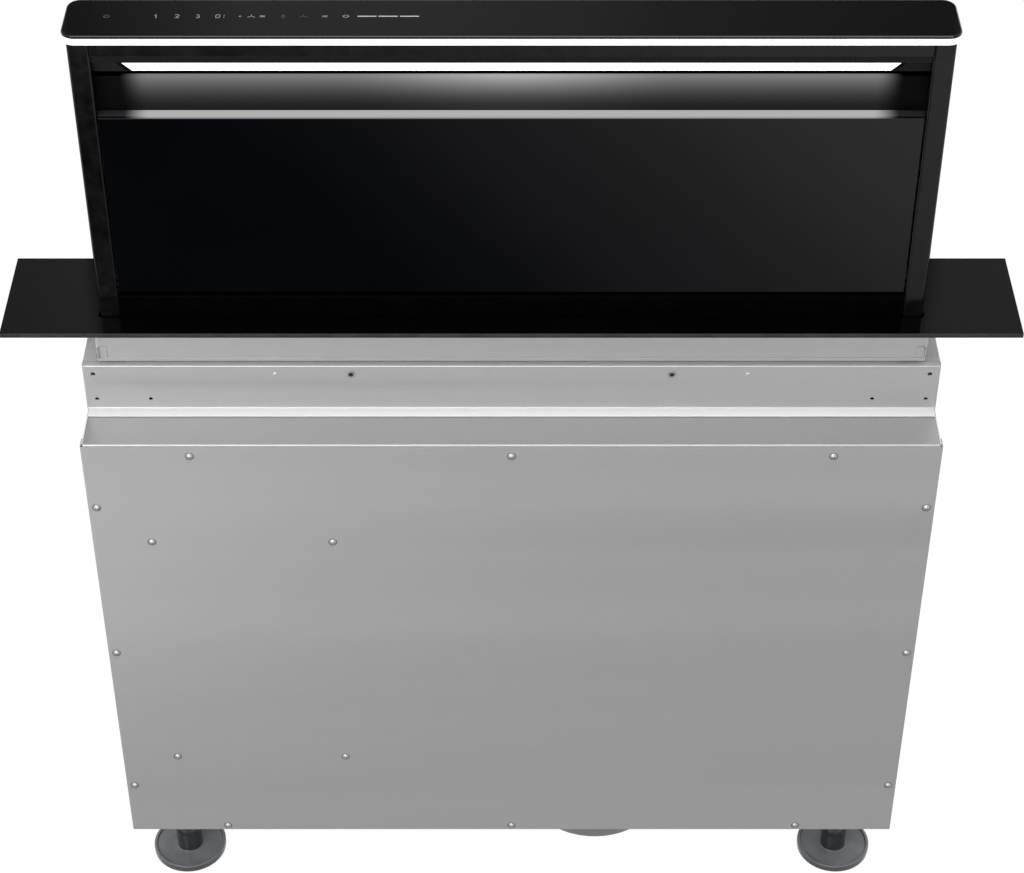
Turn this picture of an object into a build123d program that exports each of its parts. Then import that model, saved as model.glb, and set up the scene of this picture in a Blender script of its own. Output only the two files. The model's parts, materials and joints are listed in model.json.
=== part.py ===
from build123d import *
import math
import os

# A downdraft extractor for a kitchen worktop: a black glass tower rises out of a slot
# in a glass cover plate, and lowers again into a steel housing that stands on four feet
# under the worktop. Air enters the lit recess at the top of the tower, passes the two
# grease filters behind the glass door, and is blown out of the socket in the floor.
#
# Millimetres. +X is to the right, +Y to the back and +Z up. The origin is on the floor,
# under the middle of the housing. The tower is drawn raised.

# ---------------------------------------------------------------- driving dimensions
# steel housing
HOUSING_WIDTH = 881.6        # over the two side panels
HOUSING_DEPTH = 345.0        # front face of the front cover to back face of the rear one
COVER_HEIGHT = 585.0         # front and rear covers
COVER_OVERHANG = 1.7         # how far the covers reach past each side panel
COVER_RETURN = 14.0          # the covers' folded side edges
SHEET = 1.2                  # housing sheet steel
BEND = 1.5                   # outer bend radius of the sheet
SHELF_STEP = 2.0             # top edge of the covers to the top of the shelves
SHELF_LEG = 25.0             # folded edge of the shelves, behind the covers
FLOOR_LEG = 20.0             # folded edge of the bottom panel, behind the covers
SIDE_FLANGE = 18.0           # folded edges of the side panels
FIT = 0.2                    # assembly gap between sheet parts

# neck of the housing, which meets the underside of the worktop
NECK_SETBACK = 54.8          # front face of the front cover to the neck's front wall
NECK_DEPTH = 110.0
NECK_HEIGHT = 61.0           # shelf to rim
NECK_FOOT_RUN = 9.0          # the slanted foot along the bottom of the neck walls
NECK_FOOT_RISE = 4.6
NECK_FOOT_LIFT = 1.2         # lower edge of that foot above the shelf
NECK_TOP_HOLE_X, NECK_TOP_HOLE_R = 430.0, 2.4
NECK_LOW_HOLES_X, NECK_LOW_HOLE_R = (373.5, 429.0), 2.0
RIVET_NUT_X, RIVET_NUT_R = 165.0, 2.5
DIMPLE_X, DIMPLE_R, DIMPLE_RISE = 243.0, 3.2, 1.0
NECK_TOP_ROW, NECK_LOW_ROW = 11.0, 43.5   # hole rows below the rim
RIM_CLEARANCE = 1.2          # folded-in rim of the neck's front wall to the tower

# cover plate and the steel collar that hangs from it through the worktop
WORKTOP_SPACE = 51.0         # rim of the neck to the underside of the cover plate
PLATE_WIDTH, PLATE_DEPTH, PLATE_GLASS = 1030.0, 129.4, 5.0
PLATE_SHIFT = 6.2            # plate's middle behind the tower's middle
CARRIER_SHEET, CARRIER_INSET = 1.0, 10.0
COLLAR_WIDTH, COLLAR_DEPTH, COLLAR_WALL = 849.2, 68.5, 1.2
COLLAR_DROP = 47.0           # below the underside of the carrier sheet
COLLAR_RADIUS = 3.0
HEM_HEIGHT, HEM_PROUD = 4.0, 1.0
SLOT_MARGIN = 2.1            # slot in the glass, outside the tower, on every side
SEAL_HEIGHT, SEAL_DROP, SEAL_CLEARANCE = 8.0, 6.0, 0.5

# lifting tower
TOWER_SETBACK = 93.0         # front face of the front cover to the tower's middle
TOWER_WIDTH, TOWER_DEPTH = 833.2, 59.0
TRAVEL = 320.0
CAP_GAP = 0.5                # under the cap when the tower is down
TOWER_BELOW = 110.0          # tower's foot below the top of the cover plate, when raised
POST_WIDTH, POST_WALL, POST_RADIUS = 20.8, 2.0, 2.5
RECESS_DEPTH = 14.5          # lit recess, also the depth of the posts' inner lips
REAR_PANEL_THICK = 3.0
CAP_WIDTH, CAP_DEPTH, CAP_RADIUS = 842.0, 67.5, 13.0
CAP_GLASS_THICK, CAP_CHAMFER = 3.0, 1.0
BAND_HEIGHT, BAND_WALL, BAND_INSET = 7.0, 5.0, 0.4
FASCIA_HEIGHT, FASCIA_SHEET = 16.0, 1.5
BOARD_LENGTH, BOARD_DEPTH, BOARD_THICK = 340.0, 42.0, 1.6
BOARD_X, BOARD_POCKET = -234.0, 3.0
CHIPS, CHIP_PITCH, CHIP_SIZE, CHIP_HEIGHT = 4, 80.0, 9.0, 1.2
TRIM_SHEET = 1.2             # deflector, top rail, skirt and filter frame

# light bar and air deflector, below the underside of the cap
LIGHT_TOP, LIGHT_BOTTOM = 25.7, 36.7
LIGHT_TOP_SET, LIGHT_BOTTOM_SET = 8.0, 10.0   # behind the tower's front
LIGHT_BACK = 22.0
DIFFUSER_TOP_WIDTH, DIFFUSER_BOTTOM_WIDTH, DIFFUSER_THICK = 748.0, 730.0, 2.5
DIFFUSER_MARGIN, DIFFUSER_PLAY = 0.9, 0.05
DEFLECTOR_TOP = 44.5
DEFLECTOR_FOLD = 8.0

# glass door in front of the filters, measured up from the top of the cover plate
DOOR_BOTTOM, DOOR_TOP = 30.5, 237.0
DOOR_GLASS, DOOR_SIDE_GAP = 3.5, 1.2
DOOR_FRAME_THICK, DOOR_FRAME_BORDER, DOOR_FRAME_INSET = 1.5, 34.0, 7.0
HINGE_RISE, HINGE_SET, HINGE_PIN_R = 5.5, 7.0, 3.0   # pin above the glass edge, behind its face
HINGE_BLOCK = 19.0
RUNNING = 0.06               # radial clearance of pins, spindles and shafts
TOP_RAIL_RISE, TOP_RAIL_GAP, TOP_RAIL_LEG = 1.0, 0.8, 12.0
APRON_GAP, APRON_FLANGE = 4.5, 7.0
APRON_BELOW = 10.0           # apron's lower edge below the top of the cover plate

# grease filters
FILTER_SETBACK, FILTER_DEPTH = 31.5, 10.0    # behind the tower's front
FILTER_TOP, FILTER_MIDDLE_GAP = 230.0, 4.0
FILTER_BORDER, FILTER_CORE = 12.0, 5.0
FILTER_COLUMNS, FILTER_ROWS, FILTER_BAR = 16, 3, 6.0
TRAY_FLOOR, TRAY_FRONT, TRAY_BACK, TRAY_SHEET = 10.0, 14.0, 12.0, 1.0

# lift gear
FRAME_THICK, FRAME_RIM = 6.0, 10.0
SPINDLE_X, SPINDLE_SETBACK, SPINDLE_R = 380.0, 145.0, 6.0
NUT_R, NUT_LENGTH, ARM_WIDTH = 12.0, 25.0, 28.0
RAIL_WIDTH, RAIL_WALL, RAIL_REACH = 24.0, 2.5, 20.1
BLOCK_HEIGHT, SLIDE_CLEARANCE = 40.0, 0.3
RAIL_TOP_GAP = 3.0           # top of the rails and spindle bearings below the rim
PULLEY_R, PULLEY_FLANGE_R, PULLEY_TEETH, BELT_WIDTH = 16.0, 18.0, 20, 10.0
PULLEY_FLANGE, BELT_THICK, TOOTH_DEPTH, BELT_GAP = 2.0, 1.8, 1.6, 0.3
BEARING_PLATE, BEARING_BOSS_R, BEARING_HEIGHT = 6.0, 14.0, 12.0
BEARING_WIDTH = 34.0
LOWER_BEARING_GAP = 8.5      # below the tower's foot when it is down
LIFT_MOTOR_R, LIFT_MOTOR_LENGTH, GEARBOX_LENGTH = 31.0, 130.0, 45.0
MOTOR_SHOULDER, MOTOR_SHOULDER_RISE, SPINDLE_IN_MOTOR = 6.0, 4.0, 16.0
MOTOR_BRACKET_SHEET, MOTOR_BRACKET_BRIM, MOTOR_BRACKET_LEG = 3.0, 6.0, 70.0

# blower
BLOWER_SETBACK, BLOWER_WIDTH, SCROLL_WALL = 112.0, 150.0, 1.5
SCROLL_X, SCROLL_Z = 36.0, 210.0             # impeller axis
SCROLL_START_R, SCROLL_END_R = 78.0, 138.0
SCROLL_OUTLET_Z = 132.0
INLET_R, INLET_FLARE, INLET_LIP = 57.0, 6.0, 6.0
IMPELLER_R, IMPELLER_INNER_R, IMPELLER_WIDTH = 72.0, 60.0, 130.0
BLADES, BLADE_THICK, BLADE_BOW, DISC_THICK = 32, 0.8, 3.0, 2.0
HUB_R, HUB_LENGTH, SHAFT_R, SHAFT_IN_MOTOR = 12.0, 24.0, 4.0, 20.0
MOTOR_R, MOTOR_GAP = 40.0, 14.0
MOTOR_ARM, MOTOR_ARM_THICK, MOTOR_POST_R = 9.0, 3.0, 4.0

# exhaust
OUTLET_X = 99.0
DUCT_R = 75.5                # bore of the socket, for a 150 mm duct
SOCKET_R, SOCKET_DROP, SOCKET_FLANGE_R, SOCKET_FLANGE = 83.5, 46.0, 94.0, 2.2
DUCT_STOP = 1.5              # the adaptor's bore is this much smaller, as a stop for the duct
ADAPTOR_HOLE_PLAY = 1.0      # hole in the bottom panel, round the adaptor
ADAPTOR_WALL, ADAPTOR_ROUND, ADAPTOR_FLANGE = 1.5, 8.0, 8.0
FLAP_ROD_R, FLAP_THICK, FLAP_CLEARANCE, KNUCKLE_R = 2.0, 1.2, 0.8, 3.8
FLAP_AXIS_RISE = 5.0         # above the housing's underside
FLAP_ROOT_GAP = 0.6          # between a flap's plate and the other's knuckles

# feet
FOOT_HEIGHT = 100.0
FOOT_X, FOOT_SETBACK = 389.0, 62.6
FOOT_R, FOOT_RIM, FOOT_LIP, STEM_R = 43.0, 9.0, 2.5, 15.0
STUD_R, STUD_LENGTH, FOOT_SOCKET_R, FOOT_SOCKET_HEIGHT = 5.0, 26.0, 16.0, 30.0
FOOT_WASHER = 2.2

# fasteners
SCREW_HEAD_R, SCREW_COLLAR_R, SCREW_HEAD, SCREW_COLLAR = 3.6, 4.4, 2.4, 0.6
SCREW_R, SCREW_LENGTH, SCREW_HOLE_R = 1.9, 8.0, 2.2
SCREW_ROW_X = (-331.0, 0.0, 331.0)
SCREW_TOP_DROP, SCREW_BOTTOM_RISE = 12.2, 6.7
SCREW_SIDE_X = 433.5
SCREW_SIDE_RISES = (75.6, 289.4, 502.3)
CONTROL_SCREWS_X, CONTROL_SCREWS_RISE = (-380.0, -189.0), (124.0, 454.0)

# control box, behind the front cover, and what is on its board
CONTROL_DEPTH, CONTROL_BRIM, CONTROL_BRIM_EDGE = 48.0, 20.0, 10.0
CONTROL_BOARD_INSET, CONTROL_BOARD_THICK, STANDOFF_R, STANDOFF = 12.0, 1.6, 3.0, 6.0
CONTROL_PARTS_EDGE, CONTROL_PARTS_RISE = 45.0, 60.0
TRANSFORMER_SIZE, TRANSFORMER_HEIGHT = 50.0, 30.0
RELAYS, RELAY_PITCH, RELAY_WIDTH, RELAY_LENGTH, RELAY_HEIGHT = 5, 26.0, 16.0, 20.0, 15.0
TERMINAL_DROP, TERMINAL_WIDTH, TERMINAL_HEIGHT = 38.0, 12.0, 12.0
GLAND_BACK, GLAND_DROP = 45.0, 45.0          # before the back, below the covers' top edge
GLAND_R, GLAND_LENGTH, GLAND_BORE, GLAND_REACH, GLAND_NECK = 10.0, 15.0, 4.0, 4.0, 8.0

# ---------------------------------------------------------------- places worked out
FRONT = -HOUSING_DEPTH / 2
BACK = HOUSING_DEPTH / 2
SIDE = HOUSING_WIDTH / 2
INSIDE = SIDE - SHEET
SPAN = 2 * (INSIDE - FIT)                    # sheets that fit between the side panels

Z_BASE = FOOT_HEIGHT
Z_COVER_TOP = Z_BASE + COVER_HEIGHT
Z_SHELF = Z_COVER_TOP + SHELF_STEP
Z_RIM = Z_SHELF + NECK_HEIGHT
Z_CARRIER = Z_RIM + WORKTOP_SPACE
Z_GLASS = Z_CARRIER + CARRIER_SHEET
Z_PLATE = Z_GLASS + PLATE_GLASS
Z_CAP = Z_PLATE + TRAVEL + CAP_GAP
Z_CAP_GLASS = Z_CAP + BAND_HEIGHT

TOWER_Y = FRONT + TOWER_SETBACK
TOWER_FRONT = TOWER_Y - TOWER_DEPTH / 2
TOWER_BACK = TOWER_Y + TOWER_DEPTH / 2
TOWER_SIDE = TOWER_WIDTH / 2
POST_INNER = TOWER_SIDE - POST_WIDTH
TOWER_INNER = TOWER_SIDE - POST_RADIUS       # flat space behind the posts' lips
BETWEEN_POSTS = 2 * (POST_INNER - FIT)
Z_FOOT = Z_PLATE - TOWER_BELOW               # underside of the tower when raised
Z_FRAME_TOP = Z_FOOT + FRAME_THICK
FILTER_BACK = TOWER_FRONT + FILTER_SETBACK + FILTER_DEPTH + BEND     # back of the drip tray
NECK_FRONT = FRONT + NECK_SETBACK
NECK_BACK = NECK_FRONT + NECK_DEPTH
RIM_FOLD = TOWER_FRONT - RIM_CLEARANCE - NECK_FRONT          # width of the folded-in rim
SPINDLE_Y = FRONT + SPINDLE_SETBACK
Z_LOWER_BEARING = Z_FOOT - TRAVEL - LOWER_BEARING_GAP    # top of the lower bearings
Z_UPPER_BEARING = Z_RIM - RAIL_TOP_GAP                   # top of the upper bearings
PULLEY_HEIGHT = BELT_WIDTH + 2 * PULLEY_FLANGE + 2 * BELT_GAP
Z_PULLEY = Z_LOWER_BEARING - BEARING_HEIGHT - 2.0 - PULLEY_HEIGHT
Z_MOTOR_TOP = Z_PULLEY - MOTOR_SHOULDER_RISE
GLAND_PLACE = (SIDE, BACK - GLAND_BACK, Z_COVER_TOP - GLAND_DROP)
HINGE_Y = TOWER_FRONT + HINGE_SET
HINGE_Z = Z_PLATE + DOOR_BOTTOM + HINGE_RISE
DOOR_HALF = POST_INNER - DOOR_SIDE_GAP
BLOWER_Y = FRONT + BLOWER_SETBACK
FLAP_Z = Z_BASE + FLAP_AXIS_RISE
ADAPTOR_BORE_R = DUCT_R - DUCT_STOP
FEET = [(x, y) for y in (FRONT + FOOT_SETBACK, BACK - FOOT_SETBACK) for x in (-FOOT_X, FOOT_X)]


# ---------------------------------------------------------------- shared operations
def block(x, y, z):
    """A box given by its (low, high) pair along each axis."""
    sizes = [high - low for low, high in (x, y, z)]
    middles = [(high + low) / 2 for low, high in (x, y, z)]
    return Pos(*middles) * Box(*sizes)


def rod(x, y, z_low, z_high, radius):
    """An upright round bar."""
    return Pos(x, y, (z_low + z_high) / 2) * Cylinder(radius, z_high - z_low)


def bar_along_y(x, z, y_low, y_high, radius):
    """A round bar from front to back."""
    return Pos(x, (y_low + y_high) / 2, z) * Rot(90, 0, 0) * Cylinder(radius, y_high - y_low)


def bent_sheet(plane, points, thickness, inside, radius=BEND):
    """The section of a folded sheet: its outer line, thickened to the side named inside."""
    outer = FilletPolyline(*points, radius=radius)
    return plane * make_face(offset(outer, amount=thickness, side=inside).edges())


def folded_along_x(points, thickness, inside, length, radius=BEND):
    """A folded sheet that runs from left to right, its section drawn in Y and Z."""
    return extrude(bent_sheet(Plane.YZ, points, thickness, inside, radius), length / 2, both=True)


def folded_upright(points, thickness, inside, z_low, z_high, radius=BEND):
    """A folded sheet that stands upright, its section drawn in X and Y."""
    return extrude(bent_sheet(Plane.XY.offset(z_low), points, thickness, inside, radius),
                   z_high - z_low)


def slab(width, depth, radius, y, z_low, z_high):
    """A flat plate with rounded corners, centred on X."""
    return extrude(Pos(0, y, z_low) * RectangleRounded(width, depth, radius), z_high - z_low)


def holes_through_wall(places, y_wall, radius):
    """Round bars from front to back that cut holes in a wall near y_wall."""
    reach = SIDE_FLANGE / 2
    return [bar_along_y(x, z, y_wall - reach, y_wall + reach, radius) for x, z in places]


def dome_arc(radius, z, rise):
    """The outline of a shallow dome, from its rim to its top on the Z axis."""
    bow = (radius ** 2 + rise ** 2) / (2 * rise)
    half = math.asin(radius / bow) / 2
    middle = (bow * math.sin(half), z + rise - bow * (1 - math.cos(half)))
    return ThreePointArc((radius, z), middle, (0, z + rise))


def mirror_sides(part):
    """The same piece on the other side of the middle plane."""
    return mirror(part, about=Plane.YZ)


def cover_screw_places():
    """Where the covers are screwed to the housing, as X and Z."""
    rows = [(x, z) for x in SCREW_ROW_X
            for z in (Z_COVER_TOP - SCREW_TOP_DROP, Z_BASE + SCREW_BOTTOM_RISE)]
    sides = [(side * SCREW_SIDE_X, Z_BASE + rise)
             for side in (-1, 1) for rise in SCREW_SIDE_RISES]
    return rows + sides


def control_screw_places():
    """Where the control box is screwed to the front cover."""
    return [(x, Z_BASE + rise) for x in CONTROL_SCREWS_X for rise in CONTROL_SCREWS_RISE]


# ---------------------------------------------------------------- housing
def side_sheet():
    """One sheet from the floor to the rim, with folded edges behind the covers and neck."""
    z_low, z_high = Z_BASE + FLOOR_LEG + FIT, Z_SHELF - SHELF_LEG - FIT
    inner = SIDE - SIDE_FLANGE
    front, back = FRONT + SHEET, BACK - SHEET
    lower = folded_upright([(inner, front), (SIDE, front), (SIDE, back), (inner, back)],
                           SHEET, Side.LEFT, z_low, z_high)
    web = block((INSIDE, SIDE), (front + BEND, back - BEND), (Z_BASE, Z_SHELF))
    front, back = NECK_FRONT + SHEET, NECK_BACK - SHEET
    neck = folded_upright([(inner, front), (SIDE, front), (SIDE, back), (inner, back)],
                          SHEET, Side.LEFT, Z_SHELF, Z_RIM)
    front, back = NECK_FRONT + RIM_FOLD + FIT, NECK_BACK - RIM_FOLD - FIT
    fold = bent_sheet(Plane.XZ.offset(-front), [(inner, Z_RIM), (SIDE, Z_RIM), (SIDE, Z_SHELF)],
                      SHEET, Side.RIGHT, BEND)
    under_rims = [block((inner - 1.0, INSIDE), ends, (Z_RIM - BEND, Z_RIM + 1.0))
                  for ends in ((NECK_FRONT, front), (back, NECK_BACK))]
    corner = block((SIDE - BEND, SIDE + 1.0), (front, back), (Z_RIM - BEND, Z_RIM + 1.0))
    neck = (neck - under_rims - corner) + extrude(fold, front - back)
    places = [(SCREW_SIDE_X, Z_BASE + rise) for rise in SCREW_SIDE_RISES]
    cuts = holes_through_wall(places, FRONT, SCREW_HOLE_R)
    cuts += holes_through_wall(places, BACK, SCREW_HOLE_R)
    neck_places = [(x, z) for x, z, r in neck_holes() if x > inner]
    cuts += holes_through_wall(neck_places, NECK_FRONT, NECK_TOP_HOLE_R)
    cuts += holes_through_wall(neck_places, NECK_BACK, NECK_TOP_HOLE_R)
    return lower + web + neck - cuts


def side_panel_right():
    """The right panel, with the hole for the mains cable."""
    return side_sheet() - Pos(*GLAND_PLACE) * Rot(0, 90, 0) * Cylinder(GLAND_R - SHEET, SIDE_FLANGE)


def side_panel_left():
    """The left panel, a mirror image without the cable hole."""
    return mirror_sides(side_sheet())


def neck_holes():
    """Holes in each neck wall, as X, Z and radius."""
    top, low = Z_RIM - NECK_TOP_ROW, Z_RIM - NECK_LOW_ROW
    holes = []
    for side in (-1, 1):
        holes.append((side * NECK_TOP_HOLE_X, top, NECK_TOP_HOLE_R))
        holes += [(side * x, low, NECK_LOW_HOLE_R) for x in NECK_LOW_HOLES_X]
    return holes


def neck_front():
    """The upright wall below the worktop, with its folded-in rim and slanted foot."""
    foot_top = Z_SHELF + NECK_FOOT_LIFT + NECK_FOOT_RISE
    wall = folded_along_x(
        [(NECK_FRONT + RIM_FOLD, Z_RIM), (NECK_FRONT, Z_RIM), (NECK_FRONT, foot_top),
         (NECK_FRONT - NECK_FOOT_RUN, Z_SHELF + NECK_FOOT_LIFT)],
        SHEET, Side.LEFT, SPAN)
    cuts = [bar_along_y(x, z, NECK_FRONT - SHEET, NECK_FRONT + 2 * SHEET, r)
            for x, z, r in neck_holes()]
    row = Z_RIM - NECK_TOP_ROW
    cuts += [bar_along_y(side * RIVET_NUT_X, row, NECK_FRONT - SHEET, NECK_FRONT + 2 * SHEET,
                         RIVET_NUT_R + SHEET) for side in (-1, 1)]
    dome = revolve(Plane.XZ * make_face([
        Line((0, -SHEET / 2), (DIMPLE_R, -SHEET / 2)), Line((DIMPLE_R, -SHEET / 2), (DIMPLE_R, 0)),
        dome_arc(DIMPLE_R, 0, DIMPLE_RISE), Line((0, DIMPLE_RISE), (0, -SHEET / 2))]), Axis.Z)
    dimples = [Pos(side * DIMPLE_X, NECK_FRONT, row) * Rot(90, 0, 0) * dome for side in (-1, 1)]
    return (wall - cuts) + dimples


def neck_rear():
    """The back wall of the neck, the front one turned to face the back."""
    middle = Plane.XZ.offset(-(NECK_FRONT + NECK_BACK) / 2)
    return mirror(neck_front(), about=middle)


def neck_rivet_nuts():
    """Threaded nuts for the fixing brackets, two in each neck wall."""
    section = make_face(Polyline((RIVET_NUT_R, -0.8), (RIVET_NUT_R + 2.0, -0.8),
                                 (RIVET_NUT_R + 2.0, 0), (RIVET_NUT_R + SHEET, 0),
                                 (RIVET_NUT_R + SHEET, 6.0), (RIVET_NUT_R, 6.0), close=True))
    nut = revolve(Plane.XZ * section, Axis.Z)
    z = Z_RIM - NECK_TOP_ROW
    nuts = []
    for side in (-1, 1):
        nuts.append(Pos(side * RIVET_NUT_X, NECK_FRONT, z) * Rot(-90, 0, 0) * nut)
        nuts.append(Pos(side * RIVET_NUT_X, NECK_BACK, z) * Rot(90, 0, 0) * nut)
    return Compound(children=nuts)


def shelf_front():
    """The step in front of the neck, folded down behind the front cover."""
    front = FRONT + SHEET
    back = NECK_FRONT + SHEET + 2 * FIT
    shelf = folded_along_x([(back, Z_SHELF), (front, Z_SHELF), (front, Z_SHELF - SHELF_LEG)],
                           SHEET, Side.LEFT, SPAN)
    places = [(x, Z_COVER_TOP - SCREW_TOP_DROP) for x in SCREW_ROW_X]
    return shelf - holes_through_wall(places, FRONT, SCREW_HOLE_R)


def shelf_rear():
    """The deep top behind the neck, folded down behind the rear cover."""
    back = BACK - SHEET
    front = NECK_BACK - SHEET - 2 * FIT
    shelf = folded_along_x([(front, Z_SHELF), (back, Z_SHELF), (back, Z_SHELF - SHELF_LEG)],
                           SHEET, Side.RIGHT, SPAN)
    places = [(x, Z_COVER_TOP - SCREW_TOP_DROP) for x in SCREW_ROW_X]
    return shelf - holes_through_wall(places, BACK, SCREW_HOLE_R)


def cover(screws):
    """The front cover: a flat sheet with folded side edges that wrap the side panels."""
    half = SIDE + COVER_OVERHANG
    sheet = folded_upright([(half, FRONT + COVER_RETURN), (half, FRONT), (-half, FRONT),
                            (-half, FRONT + COVER_RETURN)],
                           SHEET, Side.RIGHT, Z_BASE, Z_COVER_TOP)
    return sheet - [bar_along_y(x, z, FRONT - SHEET, FRONT + 2 * SHEET, SCREW_HOLE_R)
                    for x, z in screws]


def front_cover():
    """The large plain cover that faces the room."""
    return cover(cover_screw_places() + control_screw_places())


def rear_cover():
    """The same cover at the back, without the control box's screws."""
    return mirror(cover(cover_screw_places()), about=Plane.XZ)


def bottom_panel():
    """The floor of the housing, with the exhaust hole and the four foot holes."""
    front, back = FRONT + SHEET, BACK - SHEET
    leg = Z_BASE + FLOOR_LEG
    panel = folded_along_x([(front, leg), (front, Z_BASE), (back, Z_BASE), (back, leg)],
                           SHEET, Side.LEFT, SPAN)
    cuts = [rod(x, y, Z_BASE - SHEET, Z_BASE + 2 * SHEET, STUD_R + 1.0) for x, y in FEET]
    cuts.append(rod(OUTLET_X, BLOWER_Y, Z_BASE - SHEET, Z_BASE + 2 * SHEET,
                    ADAPTOR_BORE_R + ADAPTOR_WALL + ADAPTOR_HOLE_PLAY))
    places = [(x, Z_BASE + SCREW_BOTTOM_RISE) for x in SCREW_ROW_X]
    cuts += holes_through_wall(places, FRONT, SCREW_HOLE_R)
    cuts += holes_through_wall(places, BACK, SCREW_HOLE_R)
    return panel - cuts


def cover_screws():
    """Domed sheet-metal screws with a collar, for both covers and the control box."""
    section = make_face([Line((0, -SCREW_LENGTH), (SCREW_R, -SCREW_LENGTH)),
                         Line((SCREW_R, -SCREW_LENGTH), (SCREW_R, 0)),
                         Line((SCREW_R, 0), (SCREW_COLLAR_R, 0)),
                         Line((SCREW_COLLAR_R, 0), (SCREW_COLLAR_R, SCREW_COLLAR)),
                         Line((SCREW_COLLAR_R, SCREW_COLLAR), (SCREW_HEAD_R, SCREW_COLLAR)),
                         dome_arc(SCREW_HEAD_R, SCREW_COLLAR, SCREW_HEAD - SCREW_COLLAR),
                         Line((0, SCREW_HEAD), (0, -SCREW_LENGTH))])
    screw = revolve(Plane.XZ * section, Axis.Z)
    front = [Pos(x, FRONT, z) * Rot(90, 0, 0) * screw
             for x, z in cover_screw_places() + control_screw_places()]
    rear = [Pos(x, BACK, z) * Rot(-90, 0, 0) * screw for x, z in cover_screw_places()]
    return Compound(children=front + rear)


def control_box():
    """A pan with a brim, closed by the front cover, for the mains and lift electronics."""
    left, right = min(CONTROL_SCREWS_X), max(CONTROL_SCREWS_X)
    low, high = (Z_BASE + rise for rise in CONTROL_SCREWS_RISE)
    y = FRONT + SHEET
    edge = CONTROL_BRIM_EDGE
    brim = block((left - edge, right + edge), (y, y + SHEET), (low - edge, high + edge))
    inset = CONTROL_BRIM - edge
    pan = block((left + inset, right - inset), (y, y + CONTROL_DEPTH), (low + inset, high - inset))
    wall = inset + SHEET
    hollow = block((left + wall, right - wall), (y, y + CONTROL_DEPTH - SHEET),
                   (low + wall, high - wall))
    y_board = y + CONTROL_DEPTH - SHEET
    posts = [bar_along_y(x, z, y_board - STANDOFF, y_board, STANDOFF_R)
             for x in (left + wall + CONTROL_BOARD_INSET, right - wall - CONTROL_BOARD_INSET)
             for z in (low + wall + CONTROL_BOARD_INSET, high - wall - CONTROL_BOARD_INSET)]
    holes = holes_through_wall(control_screw_places(), FRONT, SCREW_HOLE_R)
    return (brim + pan - hollow + posts) - holes


def control_board():
    """The circuit board on its four standoffs, with a transformer and a relay row."""
    left, right = min(CONTROL_SCREWS_X), max(CONTROL_SCREWS_X)
    low, high = (Z_BASE + rise for rise in CONTROL_SCREWS_RISE)
    inset = CONTROL_BRIM - CONTROL_BRIM_EDGE + SHEET + CONTROL_BOARD_INSET / 2
    y_back = FRONT + CONTROL_DEPTH - STANDOFF
    board = block((left + inset, right - inset), (y_back - CONTROL_BOARD_THICK, y_back),
                  (low + inset, high - inset))
    y_top = y_back - CONTROL_BOARD_THICK
    x_low, x_high = left + CONTROL_PARTS_EDGE, right - CONTROL_PARTS_EDGE
    z_parts = low + CONTROL_PARTS_RISE
    transformer = block((x_low, x_low + TRANSFORMER_SIZE), (y_top - TRANSFORMER_HEIGHT, y_top),
                        (z_parts, z_parts + TRANSFORMER_SIZE))
    rows = [z_parts + RELAY_PITCH * i for i in range(RELAYS)]
    relays = [block((x_high - RELAY_WIDTH, x_high), (y_top - RELAY_HEIGHT, y_top), (z, z + RELAY_LENGTH))
              for z in rows]
    z_terminal = high - TERMINAL_DROP
    terminal = block((x_low, x_high), (y_top - TERMINAL_HEIGHT, y_top),
                     (z_terminal - TERMINAL_WIDTH, z_terminal))
    return board + transformer + relays + terminal


def cable_gland():
    """The mains inlet through the right side panel."""
    low, neck = -SHEET - GLAND_REACH, GLAND_R - SHEET - FIT
    section = make_face(Polyline((GLAND_BORE, low), (neck, low), (neck, 0), (GLAND_R, 0),
                                 (GLAND_R, GLAND_NECK), (GLAND_R - 2.5, GLAND_LENGTH),
                                 (GLAND_BORE, GLAND_LENGTH), close=True))
    return Pos(*GLAND_PLACE) * Rot(0, 90, 0) * revolve(Plane.XZ * section, Axis.Z)


# ---------------------------------------------------------------- cover plate
def cover_plate_glass():
    """The black glass plate on the worktop, with the slot for the tower."""
    y = TOWER_Y + PLATE_SHIFT
    plate = slab(PLATE_WIDTH, PLATE_DEPTH, 1.0, y, Z_GLASS, Z_PLATE)
    plate = chamfer(plate.edges().group_by(Axis.Z)[-1], 0.5)
    slot = slab(TOWER_WIDTH + 2 * SLOT_MARGIN, TOWER_DEPTH + 2 * SLOT_MARGIN,
                POST_RADIUS + SLOT_MARGIN, TOWER_Y, Z_CARRIER, Z_PLATE + 1.0)
    return plate - slot


def worktop_collar():
    """The carrier sheet under the glass and the skirt through the worktop cut-out."""
    y = TOWER_Y + PLATE_SHIFT
    z_low = Z_CARRIER - COLLAR_DROP
    sheet = slab(PLATE_WIDTH - 2 * CARRIER_INSET, PLATE_DEPTH - 2 * CARRIER_INSET, 4.0,
                 y, Z_CARRIER, Z_GLASS)
    skirt = slab(COLLAR_WIDTH, COLLAR_DEPTH, COLLAR_RADIUS, TOWER_Y, z_low, Z_CARRIER)
    hem = slab(COLLAR_WIDTH + 2 * HEM_PROUD, COLLAR_DEPTH + 2 * HEM_PROUD,
               COLLAR_RADIUS + HEM_PROUD, TOWER_Y, z_low, z_low + HEM_HEIGHT)
    inside = slab(COLLAR_WIDTH - 2 * COLLAR_WALL, COLLAR_DEPTH - 2 * COLLAR_WALL,
                  COLLAR_RADIUS - COLLAR_WALL, TOWER_Y, z_low - 1.0, Z_GLASS + 1.0)
    return sheet + skirt + hem - inside


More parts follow.
